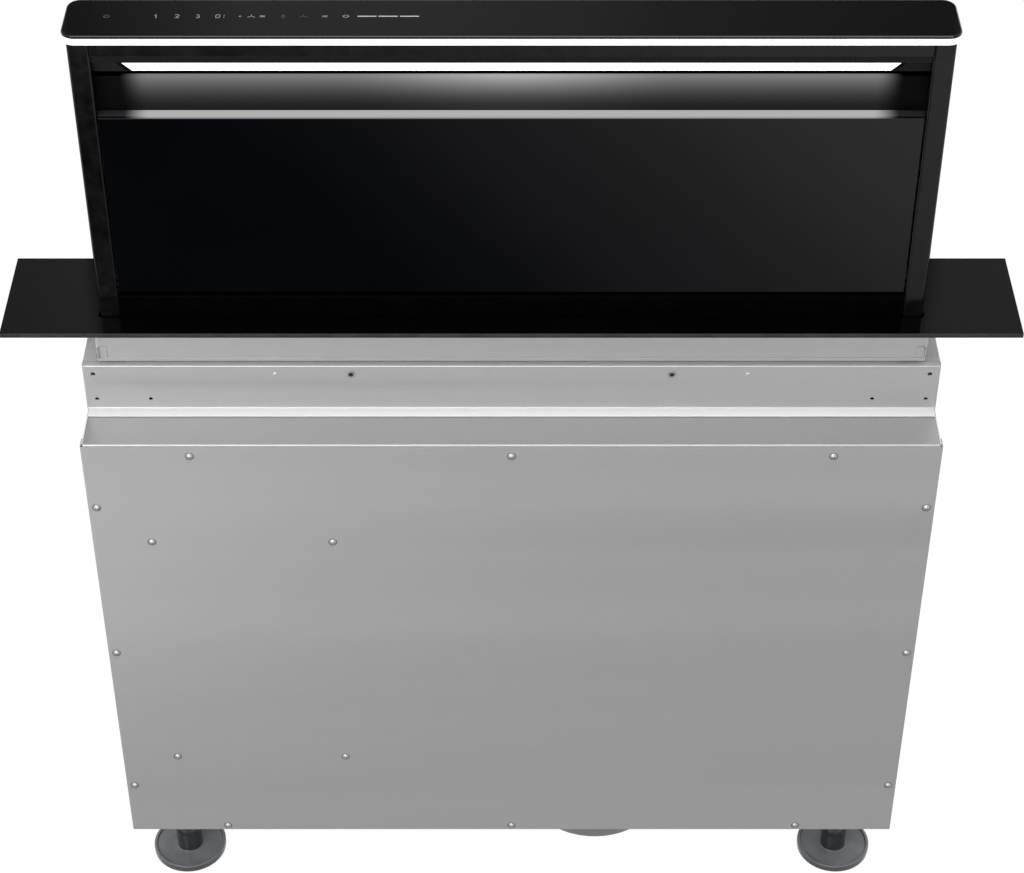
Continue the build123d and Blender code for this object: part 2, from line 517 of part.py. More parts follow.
def slot_seal():
    """The brush seal round the tower, inside the collar."""
    z_high = Z_CARRIER - SEAL_DROP
    outer = slab(COLLAR_WIDTH - 2 * COLLAR_WALL, COLLAR_DEPTH - 2 * COLLAR_WALL,
                 COLLAR_RADIUS - COLLAR_WALL, TOWER_Y, z_high - SEAL_HEIGHT, z_high)
    inner = slab(TOWER_WIDTH + 2 * SEAL_CLEARANCE, TOWER_DEPTH + 2 * SEAL_CLEARANCE,
                 POST_RADIUS + SEAL_CLEARANCE, TOWER_Y, z_high - SEAL_HEIGHT - 1.0, z_high + 1.0)
    return outer - inner


def collar_clips():
    """Small steel clips at the collar's front corners, which grip the worktop's edge."""
    y = TOWER_Y - COLLAR_DEPTH / 2
    x = COLLAR_WIDTH / 2 - COLLAR_RADIUS
    z = Z_CARRIER - COLLAR_DROP + HEM_HEIGHT
    clip = folded_upright([(x, y - 4.5), (x, y), (x - 8.0, y)], 1.0, Side.RIGHT, z + 1.0, z + 14.0,
                          radius=1.2)
    clip = Pos(0, -1.0, 0) * clip
    return Compound(children=[clip, mirror_sides(clip)])


# ---------------------------------------------------------------- lifting tower
def cap_outline(inset, z_low, z_high):
    """A plate with the cap's outline, drawn in by inset."""
    return slab(CAP_WIDTH - 2 * inset, CAP_DEPTH - 2 * inset, CAP_RADIUS - inset,
                TOWER_Y, z_low, z_high)


def cap_glass():
    """The glass top with the touch controls on it."""
    glass = cap_outline(0, Z_CAP_GLASS, Z_CAP_GLASS + CAP_GLASS_THICK)
    return chamfer(glass.edges().group_by(Axis.Z)[-1], CAP_CHAMFER)


def cap_light_band():
    """The luminous ring round the cap, under the glass."""
    return (cap_outline(BAND_INSET, Z_CAP, Z_CAP_GLASS)
            - cap_outline(BAND_INSET + BAND_WALL, Z_CAP - 1.0, Z_CAP_GLASS + 1.0))


def cap_carrier():
    """The core of the cap inside the ring, with a pocket for the touch board."""
    core = cap_outline(BAND_INSET + BAND_WALL, Z_CAP, Z_CAP_GLASS)
    pocket = Pos(BOARD_X, TOWER_Y, Z_CAP_GLASS) * Box(
        BOARD_LENGTH + 2 * FIT, BOARD_DEPTH + 2 * FIT, 2 * BOARD_POCKET)
    return core - pocket


def touch_board():
    """The sensor board right under the glass."""
    z_high = Z_CAP_GLASS
    board = Pos(BOARD_X, TOWER_Y, z_high - BOARD_THICK / 2) * Box(BOARD_LENGTH, BOARD_DEPTH, BOARD_THICK)
    chip = Pos(0, TOWER_Y, z_high - BOARD_THICK - CHIP_HEIGHT / 2) * Box(CHIP_SIZE, CHIP_SIZE, CHIP_HEIGHT)
    row_start = BOARD_X - (CHIPS - 1) * CHIP_PITCH / 2
    chips = [Pos(row_start + i * CHIP_PITCH, 0, 0) * chip for i in range(CHIPS)]
    return board + chips


def tower_post_right():
    """The side post: a channel with a deep front lip that ends the recess."""
    back = TOWER_BACK
    post = folded_upright(
        [(POST_INNER, TOWER_FRONT + RECESS_DEPTH), (POST_INNER, TOWER_FRONT),
         (TOWER_SIDE, TOWER_FRONT), (TOWER_SIDE, back), (POST_INNER, back)],
        POST_WALL, Side.LEFT, Z_FRAME_TOP, Z_CAP, radius=POST_RADIUS)
    pin = Pos(POST_INNER + POST_WALL / 2, HINGE_Y, HINGE_Z) * Rot(0, 90, 0)
    return post - pin * Cylinder(HINGE_PIN_R + RUNNING, 2 * POST_WALL)


def tower_post_left():
    """The left post."""
    return mirror_sides(tower_post_right())


def tower_fascia():
    """The strip between the cap and the lit recess."""
    y = TOWER_FRONT
    return folded_along_x([(y + 12.0, Z_CAP), (y, Z_CAP), (y, Z_CAP - FASCIA_HEIGHT),
                           (y + 3.0, Z_CAP - FASCIA_HEIGHT)],
                          FASCIA_SHEET, Side.LEFT, BETWEEN_POSTS, radius=1.6)


def tower_rear_panel():
    """The back of the tower, held inside the posts' rear flanges."""
    half = TOWER_INNER
    y_back = TOWER_BACK - POST_WALL
    return block((-half, half), (y_back - REAR_PANEL_THICK, y_back), (Z_FRAME_TOP, Z_CAP))


def light_plane():
    """The sloping front of the light bar: X to the right, Y up the slope, normal outwards."""
    top = Vector(0, TOWER_FRONT + LIGHT_TOP_SET, Z_CAP - LIGHT_TOP)
    bottom = Vector(0, TOWER_FRONT + LIGHT_BOTTOM_SET, Z_CAP - LIGHT_BOTTOM)
    slope = top - bottom
    return Plane(origin=(top + bottom) / 2, x_dir=(1, 0, 0), z_dir=Vector(1, 0, 0).cross(slope))


def diffuser_shape(margin):
    """The diffuser's tapered outline, drawn in by margin."""
    rise = math.hypot(LIGHT_BOTTOM - LIGHT_TOP, LIGHT_BOTTOM_SET - LIGHT_TOP_SET) / 2 - margin
    top, bottom = DIFFUSER_TOP_WIDTH / 2 - margin, DIFFUSER_BOTTOM_WIDTH / 2 - margin
    return make_face(Polyline((-top, rise), (-bottom, -rise), (bottom, -rise), (top, rise), close=True))


def light_bar_rail():
    """The extruded rail behind the fascia that carries the light."""
    y, z = TOWER_FRONT, Z_CAP
    face = make_face(Polyline(
        (y + FASCIA_SHEET + 0.1, z - FASCIA_SHEET - 0.1),
        (y + FASCIA_SHEET + 0.1, z - FASCIA_HEIGHT + FASCIA_SHEET + 0.1),
        (y + 3.4, z - FASCIA_HEIGHT + FASCIA_SHEET + 0.1),
        (y + 3.4, z - LIGHT_TOP + 2.5),
        (y + LIGHT_TOP_SET, z - LIGHT_TOP),
        (y + LIGHT_BOTTOM_SET, z - LIGHT_BOTTOM),
        (y + LIGHT_BOTTOM_SET + 2.0, z - LIGHT_BOTTOM),
        (y + RECESS_DEPTH, z - LIGHT_TOP - 2.0),
        (y + LIGHT_BACK, z - LIGHT_TOP + 6.0),
        (y + LIGHT_BACK, z - FASCIA_SHEET - 0.1), close=True))
    rail = extrude(Plane.YZ * face, BETWEEN_POSTS / 2, both=True)
    return rail - extrude(light_plane() * diffuser_shape(DIFFUSER_MARGIN), -DIFFUSER_THICK)


def light_bar_diffuser():
    """The white diffuser, flush in the rail."""
    return extrude(light_plane() * diffuser_shape(DIFFUSER_MARGIN + DIFFUSER_PLAY), -DIFFUSER_THICK)


def air_deflector():
    """The back of the recess: air passes over its top edge into the tower."""
    y = TOWER_FRONT + RECESS_DEPTH
    z_low = Z_PLATE + DOOR_TOP + TOP_RAIL_RISE - TOP_RAIL_LEG
    z_high = Z_CAP - DEFLECTOR_TOP
    half = TOWER_INNER
    return folded_along_x([(y, z_low), (y, z_high), (y + DEFLECTOR_FOLD, z_high - DEFLECTOR_FOLD / 3)],
                          TRIM_SHEET, Side.RIGHT, 2 * half)


def door_top_rail():
    """The bright strip behind the top edge of the glass door."""
    y = TOWER_FRONT
    z = Z_PLATE + DOOR_TOP + TOP_RAIL_RISE
    return folded_along_x([(y + DOOR_GLASS + TOP_RAIL_GAP, z), (y + RECESS_DEPTH, z),
                           (y + RECESS_DEPTH, z - TOP_RAIL_LEG)],
                          TRIM_SHEET, Side.RIGHT, BETWEEN_POSTS)


def tower_apron():
    """The black strip below the glass door, down to the level of the cover plate."""
    y = TOWER_FRONT
    z_high = Z_PLATE + DOOR_BOTTOM - APRON_GAP
    return folded_along_x([(y + APRON_FLANGE, z_high), (y, z_high), (y, Z_PLATE - APRON_BELOW)],
                          FASCIA_SHEET, Side.LEFT, BETWEEN_POSTS)


def tower_skirt():
    """The plain steel front of the part of the tower that stays below the worktop."""
    half = BETWEEN_POSTS / 2
    return block((-half, half), (TOWER_FRONT, TOWER_FRONT + TRIM_SHEET),
                 (Z_FRAME_TOP, Z_PLATE - APRON_BELOW))


def filter_frame():
    """The partition that carries the two grease filters."""
    half = TOWER_INNER
    y = FILTER_BACK
    z_low, z_high = Z_PLATE + TRAY_FLOOR, Z_PLATE + FILTER_TOP + 8.0
    back = TOWER_BACK - POST_WALL - REAR_PANEL_THICK
    sheet = folded_along_x([(y, z_low), (y, z_high), (back, z_high)], TRIM_SHEET, Side.RIGHT, 2 * half)
    inner = FILTER_MIDDLE_GAP / 2 + FILTER_BORDER / 2
    outer = filter_half() - FILTER_BORDER / 2
    z_window = (z_low + TRAY_BACK + FILTER_BORDER, Z_PLATE + FILTER_TOP - FILTER_BORDER / 2)
    windows = [block((inner, outer), (y - 1.0, y + 2 * TRIM_SHEET), z_window)]
    windows.append(mirror_sides(windows[0]))
    return sheet - windows


def filter_half():
    """Distance from the middle to the outer edge of each grease filter."""
    return POST_INNER - FIT


def grease_filter_right():
    """A slotted grease filter with a pull handle, resting in the drip tray."""
    low, high = FILTER_MIDDLE_GAP / 2, filter_half()
    y_front = TOWER_FRONT + FILTER_SETBACK
    y_back = y_front + FILTER_DEPTH
    z_low, z_high = Z_PLATE + TRAY_FLOOR + TRAY_SHEET, Z_PLATE + FILTER_TOP
    frame = block((low, high), (y_front, y_back), (z_low, z_high))
    inner = ((low + FILTER_BORDER, high - FILTER_BORDER), (z_low + FILTER_BORDER, z_high - FILTER_BORDER))
    core_margin = (FILTER_DEPTH - FILTER_CORE) / 2
    frame -= block(inner[0], (y_front - 1.0, y_front + core_margin), inner[1])
    frame -= block(inner[0], (y_back - core_margin, y_back + 1.0), inner[1])
    (x0, x1), (z0, z1) = inner
    pitch_x, pitch_z = (x1 - x0) / FILTER_COLUMNS, (z1 - z0) / FILTER_ROWS
    slot = Box(pitch_x - FILTER_BAR, 2 * FILTER_DEPTH, pitch_z - FILTER_BAR)
    slots = [Pos(x0 + (i + 0.5) * pitch_x, (y_front + y_back) / 2, z0 + (j + 0.5) * pitch_z) * slot
             for i in range(FILTER_COLUMNS) for j in range(FILTER_ROWS)]
    middle = (low + high) / 2
    grip = block((middle - 30.0, middle + 30.0), (y_front - 8.0, y_front), (z_high - 10.0, z_high - 2.0))
    grip -= block((middle - 24.0, middle + 24.0), (y_front - 5.0, y_front + 1.0), (z_high - 11.0, z_high))
    return frame - slots + grip


def grease_filter_left():
    """The left filter."""
    return mirror_sides(grease_filter_right())


def filter_drip_tray():
    """The channel under the filters that catches grease."""
    y_front = TOWER_FRONT + FASCIA_SHEET + 0.1
    z = Z_PLATE + TRAY_FLOOR
    return folded_along_x([(y_front, z + TRAY_FRONT), (y_front, z), (FILTER_BACK, z),
                           (FILTER_BACK, z + TRAY_BACK)],
                          TRAY_SHEET, Side.LEFT, BETWEEN_POSTS)


# ---------------------------------------------------------------- glass door
def front_glass():
    """The black glass in front of the filters."""
    z = (Z_PLATE + DOOR_BOTTOM, Z_PLATE + DOOR_TOP)
    glass = block((-DOOR_HALF, DOOR_HALF), (TOWER_FRONT, TOWER_FRONT + DOOR_GLASS), z)
    return chamfer(glass.faces().sort_by(Axis.Y)[0].edges(), 0.6)


def door_frame():
    """The steel frame bonded to the glass, with the hinge pins at its lower corners."""
    y = TOWER_FRONT + DOOR_GLASS
    half = DOOR_HALF - DOOR_FRAME_INSET
    z_low, z_high = Z_PLATE + DOOR_BOTTOM + 3.0, Z_PLATE + DOOR_TOP - DOOR_FRAME_INSET
    frame = block((-half, half), (y, y + DOOR_FRAME_THICK), (z_low, z_high))
    border = DOOR_FRAME_BORDER
    frame -= block((-half + border, half - border), (y - 1.0, y + 2 * DOOR_FRAME_THICK),
                   (z_low + border, z_high - border))
    reach = HINGE_PIN_R + 2.0
    ends = block((DOOR_HALF - HINGE_BLOCK, DOOR_HALF), (y, HINGE_Y + reach),
                 (HINGE_Z - reach, HINGE_Z + reach))
    ends = fillet(ends.edges().filter_by(Axis.X).group_by(Axis.Y)[-1], reach - 0.5)
    x_low, x_high = DOOR_HALF - HINGE_BLOCK / 2, POST_INNER + POST_WALL + 2.0
    ends += Pos((x_low + x_high) / 2, HINGE_Y, HINGE_Z) * Rot(0, 90, 0) * Cylinder(HINGE_PIN_R, x_high - x_low)
    return frame + ends + mirror_sides(ends)


# ---------------------------------------------------------------- lift gear
def lift_frame():
    """The ring that carries the tower, with its nut arms and slide block ears."""
    ring = slab(TOWER_WIDTH, TOWER_DEPTH, POST_RADIUS, TOWER_Y, Z_FOOT, Z_FRAME_TOP)
    ring -= slab(TOWER_WIDTH - 2 * FRAME_RIM, TOWER_DEPTH - 2 * FRAME_RIM, POST_RADIUS,
                 TOWER_Y, Z_FOOT - 1.0, Z_FRAME_TOP + 1.0)
    ear_half = RAIL_WIDTH / 2 - RAIL_WALL - 1.5
    for side in (-1, 1):
        x = side * SPINDLE_X
        arm = block((x - ARM_WIDTH / 2, x + ARM_WIDTH / 2), (TOWER_BACK - 1.0, SPINDLE_Y),
                    (Z_FOOT, Z_FRAME_TOP))
        arm += rod(x, SPINDLE_Y, Z_FOOT, Z_FRAME_TOP, ARM_WIDTH / 2)
        arm -= rod(x, SPINDLE_Y, Z_FOOT - 1.0, Z_FRAME_TOP + 1.0, SPINDLE_R + 1.5)
        ear_x = sorted((side * (TOWER_SIDE - 1.0), side * (INSIDE - RAIL_WALL - 2 * SLIDE_CLEARANCE)))
        ear = block(ear_x, (TOWER_Y - ear_half, TOWER_Y + ear_half), (Z_FOOT, Z_FRAME_TOP))
        ring += arm + ear
    return ring


def spindle_nuts():
    """The bronze nuts that the spindles drive up and down."""
    nuts = []
    for side in (-1, 1):
        nut = rod(side * SPINDLE_X, SPINDLE_Y, Z_FRAME_TOP, Z_FRAME_TOP + NUT_LENGTH, NUT_R)
        nut -= rod(side * SPINDLE_X, SPINDLE_Y, Z_FOOT, Z_UPPER_BEARING, SPINDLE_R + RUNNING)
        nuts.append(nut)
    return Compound(children=nuts)


def slide_blocks():
    """The white slide blocks in the guide rails."""
    half = RAIL_WIDTH / 2 - RAIL_WALL - SLIDE_CLEARANCE
    inner = INSIDE - RAIL_REACH + SLIDE_CLEARANCE
    outer = INSIDE - RAIL_WALL - SLIDE_CLEARANCE
    piece = block((inner, outer), (TOWER_Y - half, TOWER_Y + half),
                  (Z_FRAME_TOP, Z_FRAME_TOP + BLOCK_HEIGHT))
    piece = chamfer(piece.edges().filter_by(Axis.Y), 2.0)
    return Compound(children=[piece, mirror_sides(piece)])


def guide_rails():
    """The two channels on the side panels in which the slide blocks run."""
    half = RAIL_WIDTH / 2
    inner = INSIDE - RAIL_REACH
    rail = folded_upright([(inner, TOWER_Y - half), (INSIDE, TOWER_Y - half),
                           (INSIDE, TOWER_Y + half), (inner, TOWER_Y + half)],
                          RAIL_WALL, Side.LEFT, Z_LOWER_BEARING - BEARING_HEIGHT, Z_RIM - RAIL_TOP_GAP,
                          radius=RAIL_WALL + 0.5)
    return Compound(children=[rail, mirror_sides(rail)])


def spindle_bearings():
    """Bearing plates on the side panels, one above and one below on each spindle."""
    pieces = []
    half = BEARING_WIDTH / 2
    for z_top in (Z_LOWER_BEARING, Z_UPPER_BEARING):
        z_low = z_top - BEARING_HEIGHT
        plate = block((SPINDLE_X, INSIDE), (SPINDLE_Y - half, SPINDLE_Y + half),
                      (z_low, z_low + BEARING_PLATE))
        boss = rod(SPINDLE_X, SPINDLE_Y, z_low, z_top, BEARING_BOSS_R)
        plate += boss + rod(SPINDLE_X, SPINDLE_Y, z_low, z_low + BEARING_PLATE, half)
        plate += block((INSIDE - BEARING_PLATE, INSIDE), (SPINDLE_Y - half, SPINDLE_Y + half), (z_low, z_top))
        plate -= rod(SPINDLE_X, SPINDLE_Y, z_low - 1.0, z_top + 1.0, SPINDLE_R + RUNNING)
        pieces += [plate, mirror_sides(plate)]
    return Compound(children=pieces)


def pulley():
    """A toothed belt pulley with two flanges, on the Z axis."""
    points = []
    for i in range(PULLEY_TEETH):
        for share, radius in ((0.0, PULLEY_R), (0.5, PULLEY_R), (0.62, PULLEY_R - TOOTH_DEPTH),
                              (0.88, PULLEY_R - TOOTH_DEPTH)):
            angle = 2 * math.pi * (i + share) / PULLEY_TEETH
            points.append((radius * math.cos(angle), radius * math.sin(angle)))
    wheel = extrude(make_face(Polyline(*points, close=True)), PULLEY_HEIGHT)
    for z in (0, PULLEY_HEIGHT - PULLEY_FLANGE):
        wheel += rod(0, 0, z, z + PULLEY_FLANGE, PULLEY_FLANGE_R)
    return wheel


def spindle_left():
    """The driven spindle, from the lift motor through both bearings, with its pulley."""
    x = -SPINDLE_X
    return (rod(x, SPINDLE_Y, Z_MOTOR_TOP - SPINDLE_IN_MOTOR, Z_UPPER_BEARING - 1.0, SPINDLE_R)
            + Pos(x, SPINDLE_Y, Z_PULLEY) * pulley())


def spindle_right():
    """The second spindle, driven by the belt."""
    return (rod(SPINDLE_X, SPINDLE_Y, Z_PULLEY - 2.0, Z_UPPER_BEARING - 1.0, SPINDLE_R)
            + Pos(SPINDLE_X, SPINDLE_Y, Z_PULLEY) * pulley())


def sync_belt():
    """The toothed belt that keeps the two spindles together."""
    radius = PULLEY_R + BELT_GAP
    z = Z_PULLEY + PULLEY_FLANGE + BELT_GAP
    ring = (SlotCenterToCenter(2 * SPINDLE_X, 2 * (radius + BELT_THICK))
            - SlotCenterToCenter(2 * SPINDLE_X, 2 * radius))
    return extrude(Pos(0, SPINDLE_Y, z) * ring, BELT_WIDTH)


def lift_motor():
    """The geared lift motor under the left spindle."""
    top, r = Z_MOTOR_TOP, LIFT_MOTOR_R
    low, gearbox = top - LIFT_MOTOR_LENGTH, top - GEARBOX_LENGTH
    shoulder, ledge = r - MOTOR_SHOULDER, top - MOTOR_SHOULDER_RISE
    bore, bore_end = SPINDLE_R + RUNNING, top - SPINDLE_IN_MOTOR - 2.0
    section = make_face(Polyline((bore, top), (shoulder, top), (shoulder, ledge), (r, ledge),
                                 (r, gearbox), (r - 4.0, gearbox - 3.0), (r - 4.0, low + 3.0),
                                 (r - 7.0, low), (0, low), (0, bore_end), (bore, bore_end), close=True))
    return Pos(-SPINDLE_X, SPINDLE_Y, 0) * revolve(Plane.XZ * section, Axis.Z)


def motor_bracket():
    """The shelf on the left side panel that holds the lift motor by its shoulder."""
    half = LIFT_MOTOR_R + MOTOR_BRACKET_BRIM
    z = Z_MOTOR_TOP - MOTOR_SHOULDER_RISE + MOTOR_BRACKET_SHEET
    plane = Plane.XZ.offset(-(SPINDLE_Y + half))
    line = [(-SPINDLE_X + half, z), (-INSIDE, z), (-INSIDE, z - MOTOR_BRACKET_LEG)]
    shelf = extrude(bent_sheet(plane, line, MOTOR_BRACKET_SHEET, Side.LEFT, radius=4.0), 2 * half)
    return shelf - rod(-SPINDLE_X, SPINDLE_Y, z - 2 * MOTOR_BRACKET_SHEET, z + 1.0,
                       LIFT_MOTOR_R - MOTOR_SHOULDER + FIT)


# ---------------------------------------------------------------- blower and exhaust
def scroll_face():
    """The volute in X and Z: it widens clockwise from the tongue to the outlet."""
    steps = 6
    points = []
    for i in range(steps + 1):
        angle = math.radians(270 - 45 * i)
        radius = SCROLL_START_R + (SCROLL_END_R - SCROLL_START_R) * i / steps
        points.append((SCROLL_X + radius * math.cos(angle), SCROLL_Z + radius * math.sin(angle)))
    arcs = [ThreePointArc(points[i], points[i + 1], points[i + 2]) for i in range(0, steps, 2)]
    corner = (points[-1][0], SCROLL_OUTLET_Z)
    return make_face(arcs + [Line(points[-1], corner), Line(corner, points[0])])


def blower_scroll():
    """The spiral casing with an inlet on both sides, standing on two legs."""
    y0, y1 = BLOWER_Y - BLOWER_WIDTH / 2, BLOWER_Y + BLOWER_WIDTH / 2
    plane = Plane.XZ.offset(-BLOWER_Y)
    casing = extrude(plane * scroll_face(), BLOWER_WIDTH / 2, both=True)
    floor = Z_BASE + SHEET
    leg_x = (SCROLL_X - 72.0, SCROLL_X - 60.0)
    legs = [block(leg_x, (y, y + 20.0), (floor, SCROLL_Z - 40.0)) for y in (y0, y1 - 20.0)]
    feet = [block((leg_x[0] - 14.0, leg_x[1]), (y, y + 20.0), (floor, floor + 3.0)) for y in (y0, y1 - 20.0)]
    inner = extrude(plane * offset(scroll_face(), amount=-SCROLL_WALL),
                    BLOWER_WIDTH / 2 - SCROLL_WALL, both=True)
    left = SCROLL_X + SCROLL_WALL
    right = SCROLL_X + SCROLL_END_R - SCROLL_WALL
    outlet = block((left, right), (y0 + SCROLL_WALL, y1 - SCROLL_WALL),
                   (SCROLL_OUTLET_Z - 1.0, SCROLL_OUTLET_Z + 3.0))
    shell = casing + legs + feet
    for y, way in ((y0, 90), (y1, -90)):
        lip = Pos(SCROLL_X, y, SCROLL_Z) * Rot(way, 0, 0) * inlet_lip()
        shell += lip
    through = bar_along_y(SCROLL_X, SCROLL_Z, y0 - INLET_LIP - 1.0, y1 + INLET_LIP + 1.0, INLET_R)
    return shell - inner - outlet - through


def inlet_lip():
    """The rounded mouth of an inlet, on the Z axis, standing on its casing."""
    outline = make_face([Line((INLET_R, 0), (INLET_R + INLET_FLARE, 0)),
                         ThreePointArc((INLET_R + INLET_FLARE, 0),
                                       (INLET_R + 0.3 * INLET_FLARE, INLET_LIP * 0.3),
                                       (INLET_R, INLET_LIP)),
                         Line((INLET_R, INLET_LIP), (INLET_R, 0))])
    return revolve(Plane.XZ * outline, Axis.Z)


def impeller():
    """The double-inlet fan wheel: forward-curved blades between two rings, round a disc."""
    half = IMPELLER_WIDTH / 2
    middle, tip = (IMPELLER_R + IMPELLER_INNER_R) / 2, half - DISC_THICK
    outer = ThreePointArc((IMPELLER_INNER_R, 0), (middle, BLADE_BOW), (IMPELLER_R, -BLADE_BOW))
    inner = ThreePointArc((IMPELLER_INNER_R, -BLADE_THICK), (middle, BLADE_BOW - BLADE_THICK),
                          (IMPELLER_R, -BLADE_BOW - BLADE_THICK))
    section = make_face([outer, inner, Line(outer @ 0, inner @ 0), Line(outer @ 1, inner @ 1)])
    blade = extrude(section, tip, both=True)
    blades = [Rot(0, 0, 360 * i / BLADES) * blade for i in range(BLADES)]
    shaft_end = MOTOR_GAP + SHAFT_IN_MOTOR
    disc = (Cylinder(IMPELLER_INNER_R, DISC_THICK) + Cylinder(HUB_R, HUB_LENGTH)
            + Pos(0, 0, shaft_end / 2) * Cylinder(SHAFT_R, shaft_end))
    ring = Cylinder(IMPELLER_R + 1.0, DISC_THICK) - Cylinder(IMPELLER_INNER_R - 1.0, 2 * DISC_THICK)
    rings = [Pos(0, 0, side * (half - DISC_THICK / 2)) * ring for side in (-1, 1)]
    place = Pos(SCROLL_X, BLOWER_Y, SCROLL_Z) * Rot(-90, 0, 0)
    return Compound(children=[place * piece for piece in (disc, *rings, *blades)])


def blower_motor():
    """The fan motor in the rear inlet, on three arms that stand on the casing."""
    bore = SHAFT_R + RUNNING
    seat = BLOWER_WIDTH / 2
    arm_low = seat + INLET_LIP + FIT
    low, high = MOTOR_GAP, arm_low + MOTOR_ARM_THICK
    bore_end = low + SHAFT_IN_MOTOR + 2.0
    section = make_face(Polyline((bore, low), (14.0, low), (16.0, low + 4.0), (MOTOR_R - 5.0, low + 4.0),
                                 (MOTOR_R, low + 9.0), (MOTOR_R, high - 9.0), (MOTOR_R - 8.0, high),
                                 (0, high), (0, bore_end), (bore, bore_end), close=True))
    motor = revolve(Plane.XZ * section, Axis.Z)
    reach = INLET_R + INLET_FLARE + MOTOR_POST_R + 1.0
    arm = (Pos(reach / 2, 0, (arm_low + high) / 2) * Box(reach, MOTOR_ARM, MOTOR_ARM_THICK)
           + rod(reach, 0, seat, high, MOTOR_POST_R))
    arms = [Rot(0, 0, 90 + 120 * i) * arm for i in range(3)]
    return Pos(SCROLL_X, BLOWER_Y, SCROLL_Z) * Rot(-90, 0, 0) * (motor + arms)


def adaptor_form(inset, z_high, z_low):
    """The solid between the casing's square outlet and the round duct, drawn in by inset."""
    width = SCROLL_END_R - 2 * inset
    depth = BLOWER_WIDTH - 2 * inset
    middle = SCROLL_X + SCROLL_END_R / 2
    square = Pos(middle, BLOWER_Y, z_high) * RectangleRounded(width, depth, ADAPTOR_ROUND)
    circle = Pos(OUTLET_X, BLOWER_Y, z_low) * Circle(ADAPTOR_BORE_R + ADAPTOR_WALL - inset)
    return loft(Sketch() + [square, circle])


def outlet_adaptor():
    """The square-to-round piece under the blower, with the rod that the flaps hang on."""
    z_low, z_round = Z_BASE, FLAP_Z + KNUCKLE_R + 1.0
    outer = ADAPTOR_BORE_R + ADAPTOR_WALL
    form = adaptor_form(0, SCROLL_OUTLET_Z, z_round) + rod(OUTLET_X, BLOWER_Y, z_low, z_round, outer)
    form += rod(OUTLET_X, BLOWER_Y, Z_BASE + SHEET, Z_BASE + 2 * SHEET, outer + ADAPTOR_FLANGE)
    hollow = adaptor_form(ADAPTOR_WALL, SCROLL_OUTLET_Z, z_round) + rod(
        OUTLET_X, BLOWER_Y, z_low, z_round, ADAPTOR_BORE_R)
    reach = ADAPTOR_BORE_R + ADAPTOR_WALL / 2
    return form - hollow + bar_along_y(OUTLET_X, FLAP_Z, BLOWER_Y - reach, BLOWER_Y + reach,
                                       FLAP_ROD_R)


def damper_flap(side, spans):
    """A half-round flap: side is -1 for the left one, spans are where its knuckles sit."""
    radius = ADAPTOR_BORE_R - FLAP_CLEARANCE
    disc = Cylinder(radius, FLAP_THICK)
    root = KNUCKLE_R + FLAP_ROOT_GAP
    keep = Pos(side * (root + radius / 2), 0, 0) * Box(radius, 2 * radius, 2 * FLAP_THICK)
    flap = disc & keep
    bore = FLAP_ROD_R + RUNNING
    for low, high in spans:
        web_x = sorted((side * (bore + KNUCKLE_R) / 2, side * (root + 1.0)))
        hinge = bar_along_y(0, 0, low, high, KNUCKLE_R)
        hinge += block(web_x, (low, high), (-FLAP_THICK / 2, FLAP_THICK / 2))
        flap += hinge - bar_along_y(0, 0, low - 1.0, high + 1.0, bore)
    return Pos(OUTLET_X, BLOWER_Y, FLAP_Z) * flap


def damper_flap_left():
    """The left back-draught flap."""
    return damper_flap(-1, [(-64.0, -36.0), (2.0, 30.0)])


def damper_flap_right():
    """The right back-draught flap, whose knuckles sit between the left one's."""
    return damper_flap(1, [(-32.0, -2.0), (34.0, 62.0)])


def exhaust_socket():
    """The round socket under the housing that the exhaust duct is pushed into."""
    z_high, z_low = Z_BASE, Z_BASE - SOCKET_DROP
    section = make_face(Polyline(
        (DUCT_R, z_low), (SOCKET_R, z_low), (SOCKET_R, z_high - SOCKET_FLANGE),
        (SOCKET_FLANGE_R, z_high - SOCKET_FLANGE), (SOCKET_FLANGE_R, z_high),
        (DUCT_R, z_high), close=True))
    return Pos(OUTLET_X, BLOWER_Y, 0) * revolve(Plane.XZ * section, Axis.Z)


# ---------------------------------------------------------------- feet
def foot(x, y):
    """A turning foot: a dished disc, a thick stem and the threaded stud above it."""
    top = FOOT_HEIGHT - FOOT_WASHER - 0.3
    dish = FOOT_RIM - FOOT_LIP
    flare = 8.0
    section = make_face([
        Line((0, 0), (FOOT_R - 1.5, 0)), Line((FOOT_R - 1.5, 0), (FOOT_R, 1.5)),
        Line((FOOT_R, 1.5), (FOOT_R, FOOT_RIM - 1.0)),
        Line((FOOT_R, FOOT_RIM - 1.0), (FOOT_R - 1.0, FOOT_RIM)),
        Line((FOOT_R - 1.0, FOOT_RIM), (FOOT_R - 3.5, FOOT_RIM)),
        Line((FOOT_R - 3.5, FOOT_RIM), (FOOT_R - 5.0, dish)),
        Line((FOOT_R - 5.0, dish), (STEM_R + flare, dish)),
        ThreePointArc((STEM_R + flare, dish), (STEM_R + flare * 0.29, dish + flare * 0.29),
                      (STEM_R, dish + flare)),
        Line((STEM_R, dish + flare), (STEM_R, top - 1.5)), Line((STEM_R, top - 1.5), (STEM_R - 1.5, top)),
        Line((STEM_R - 1.5, top), (STUD_R, top)), Line((STUD_R, top), (STUD_R, top + STUD_LENGTH)),
        Line((STUD_R, top + STUD_LENGTH), (0, top + STUD_LENGTH)), Line((0, top + STUD_LENGTH), (0, 0))])
    return Pos(x, y, 0) * revolve(Plane.XZ * section, Axis.Z)


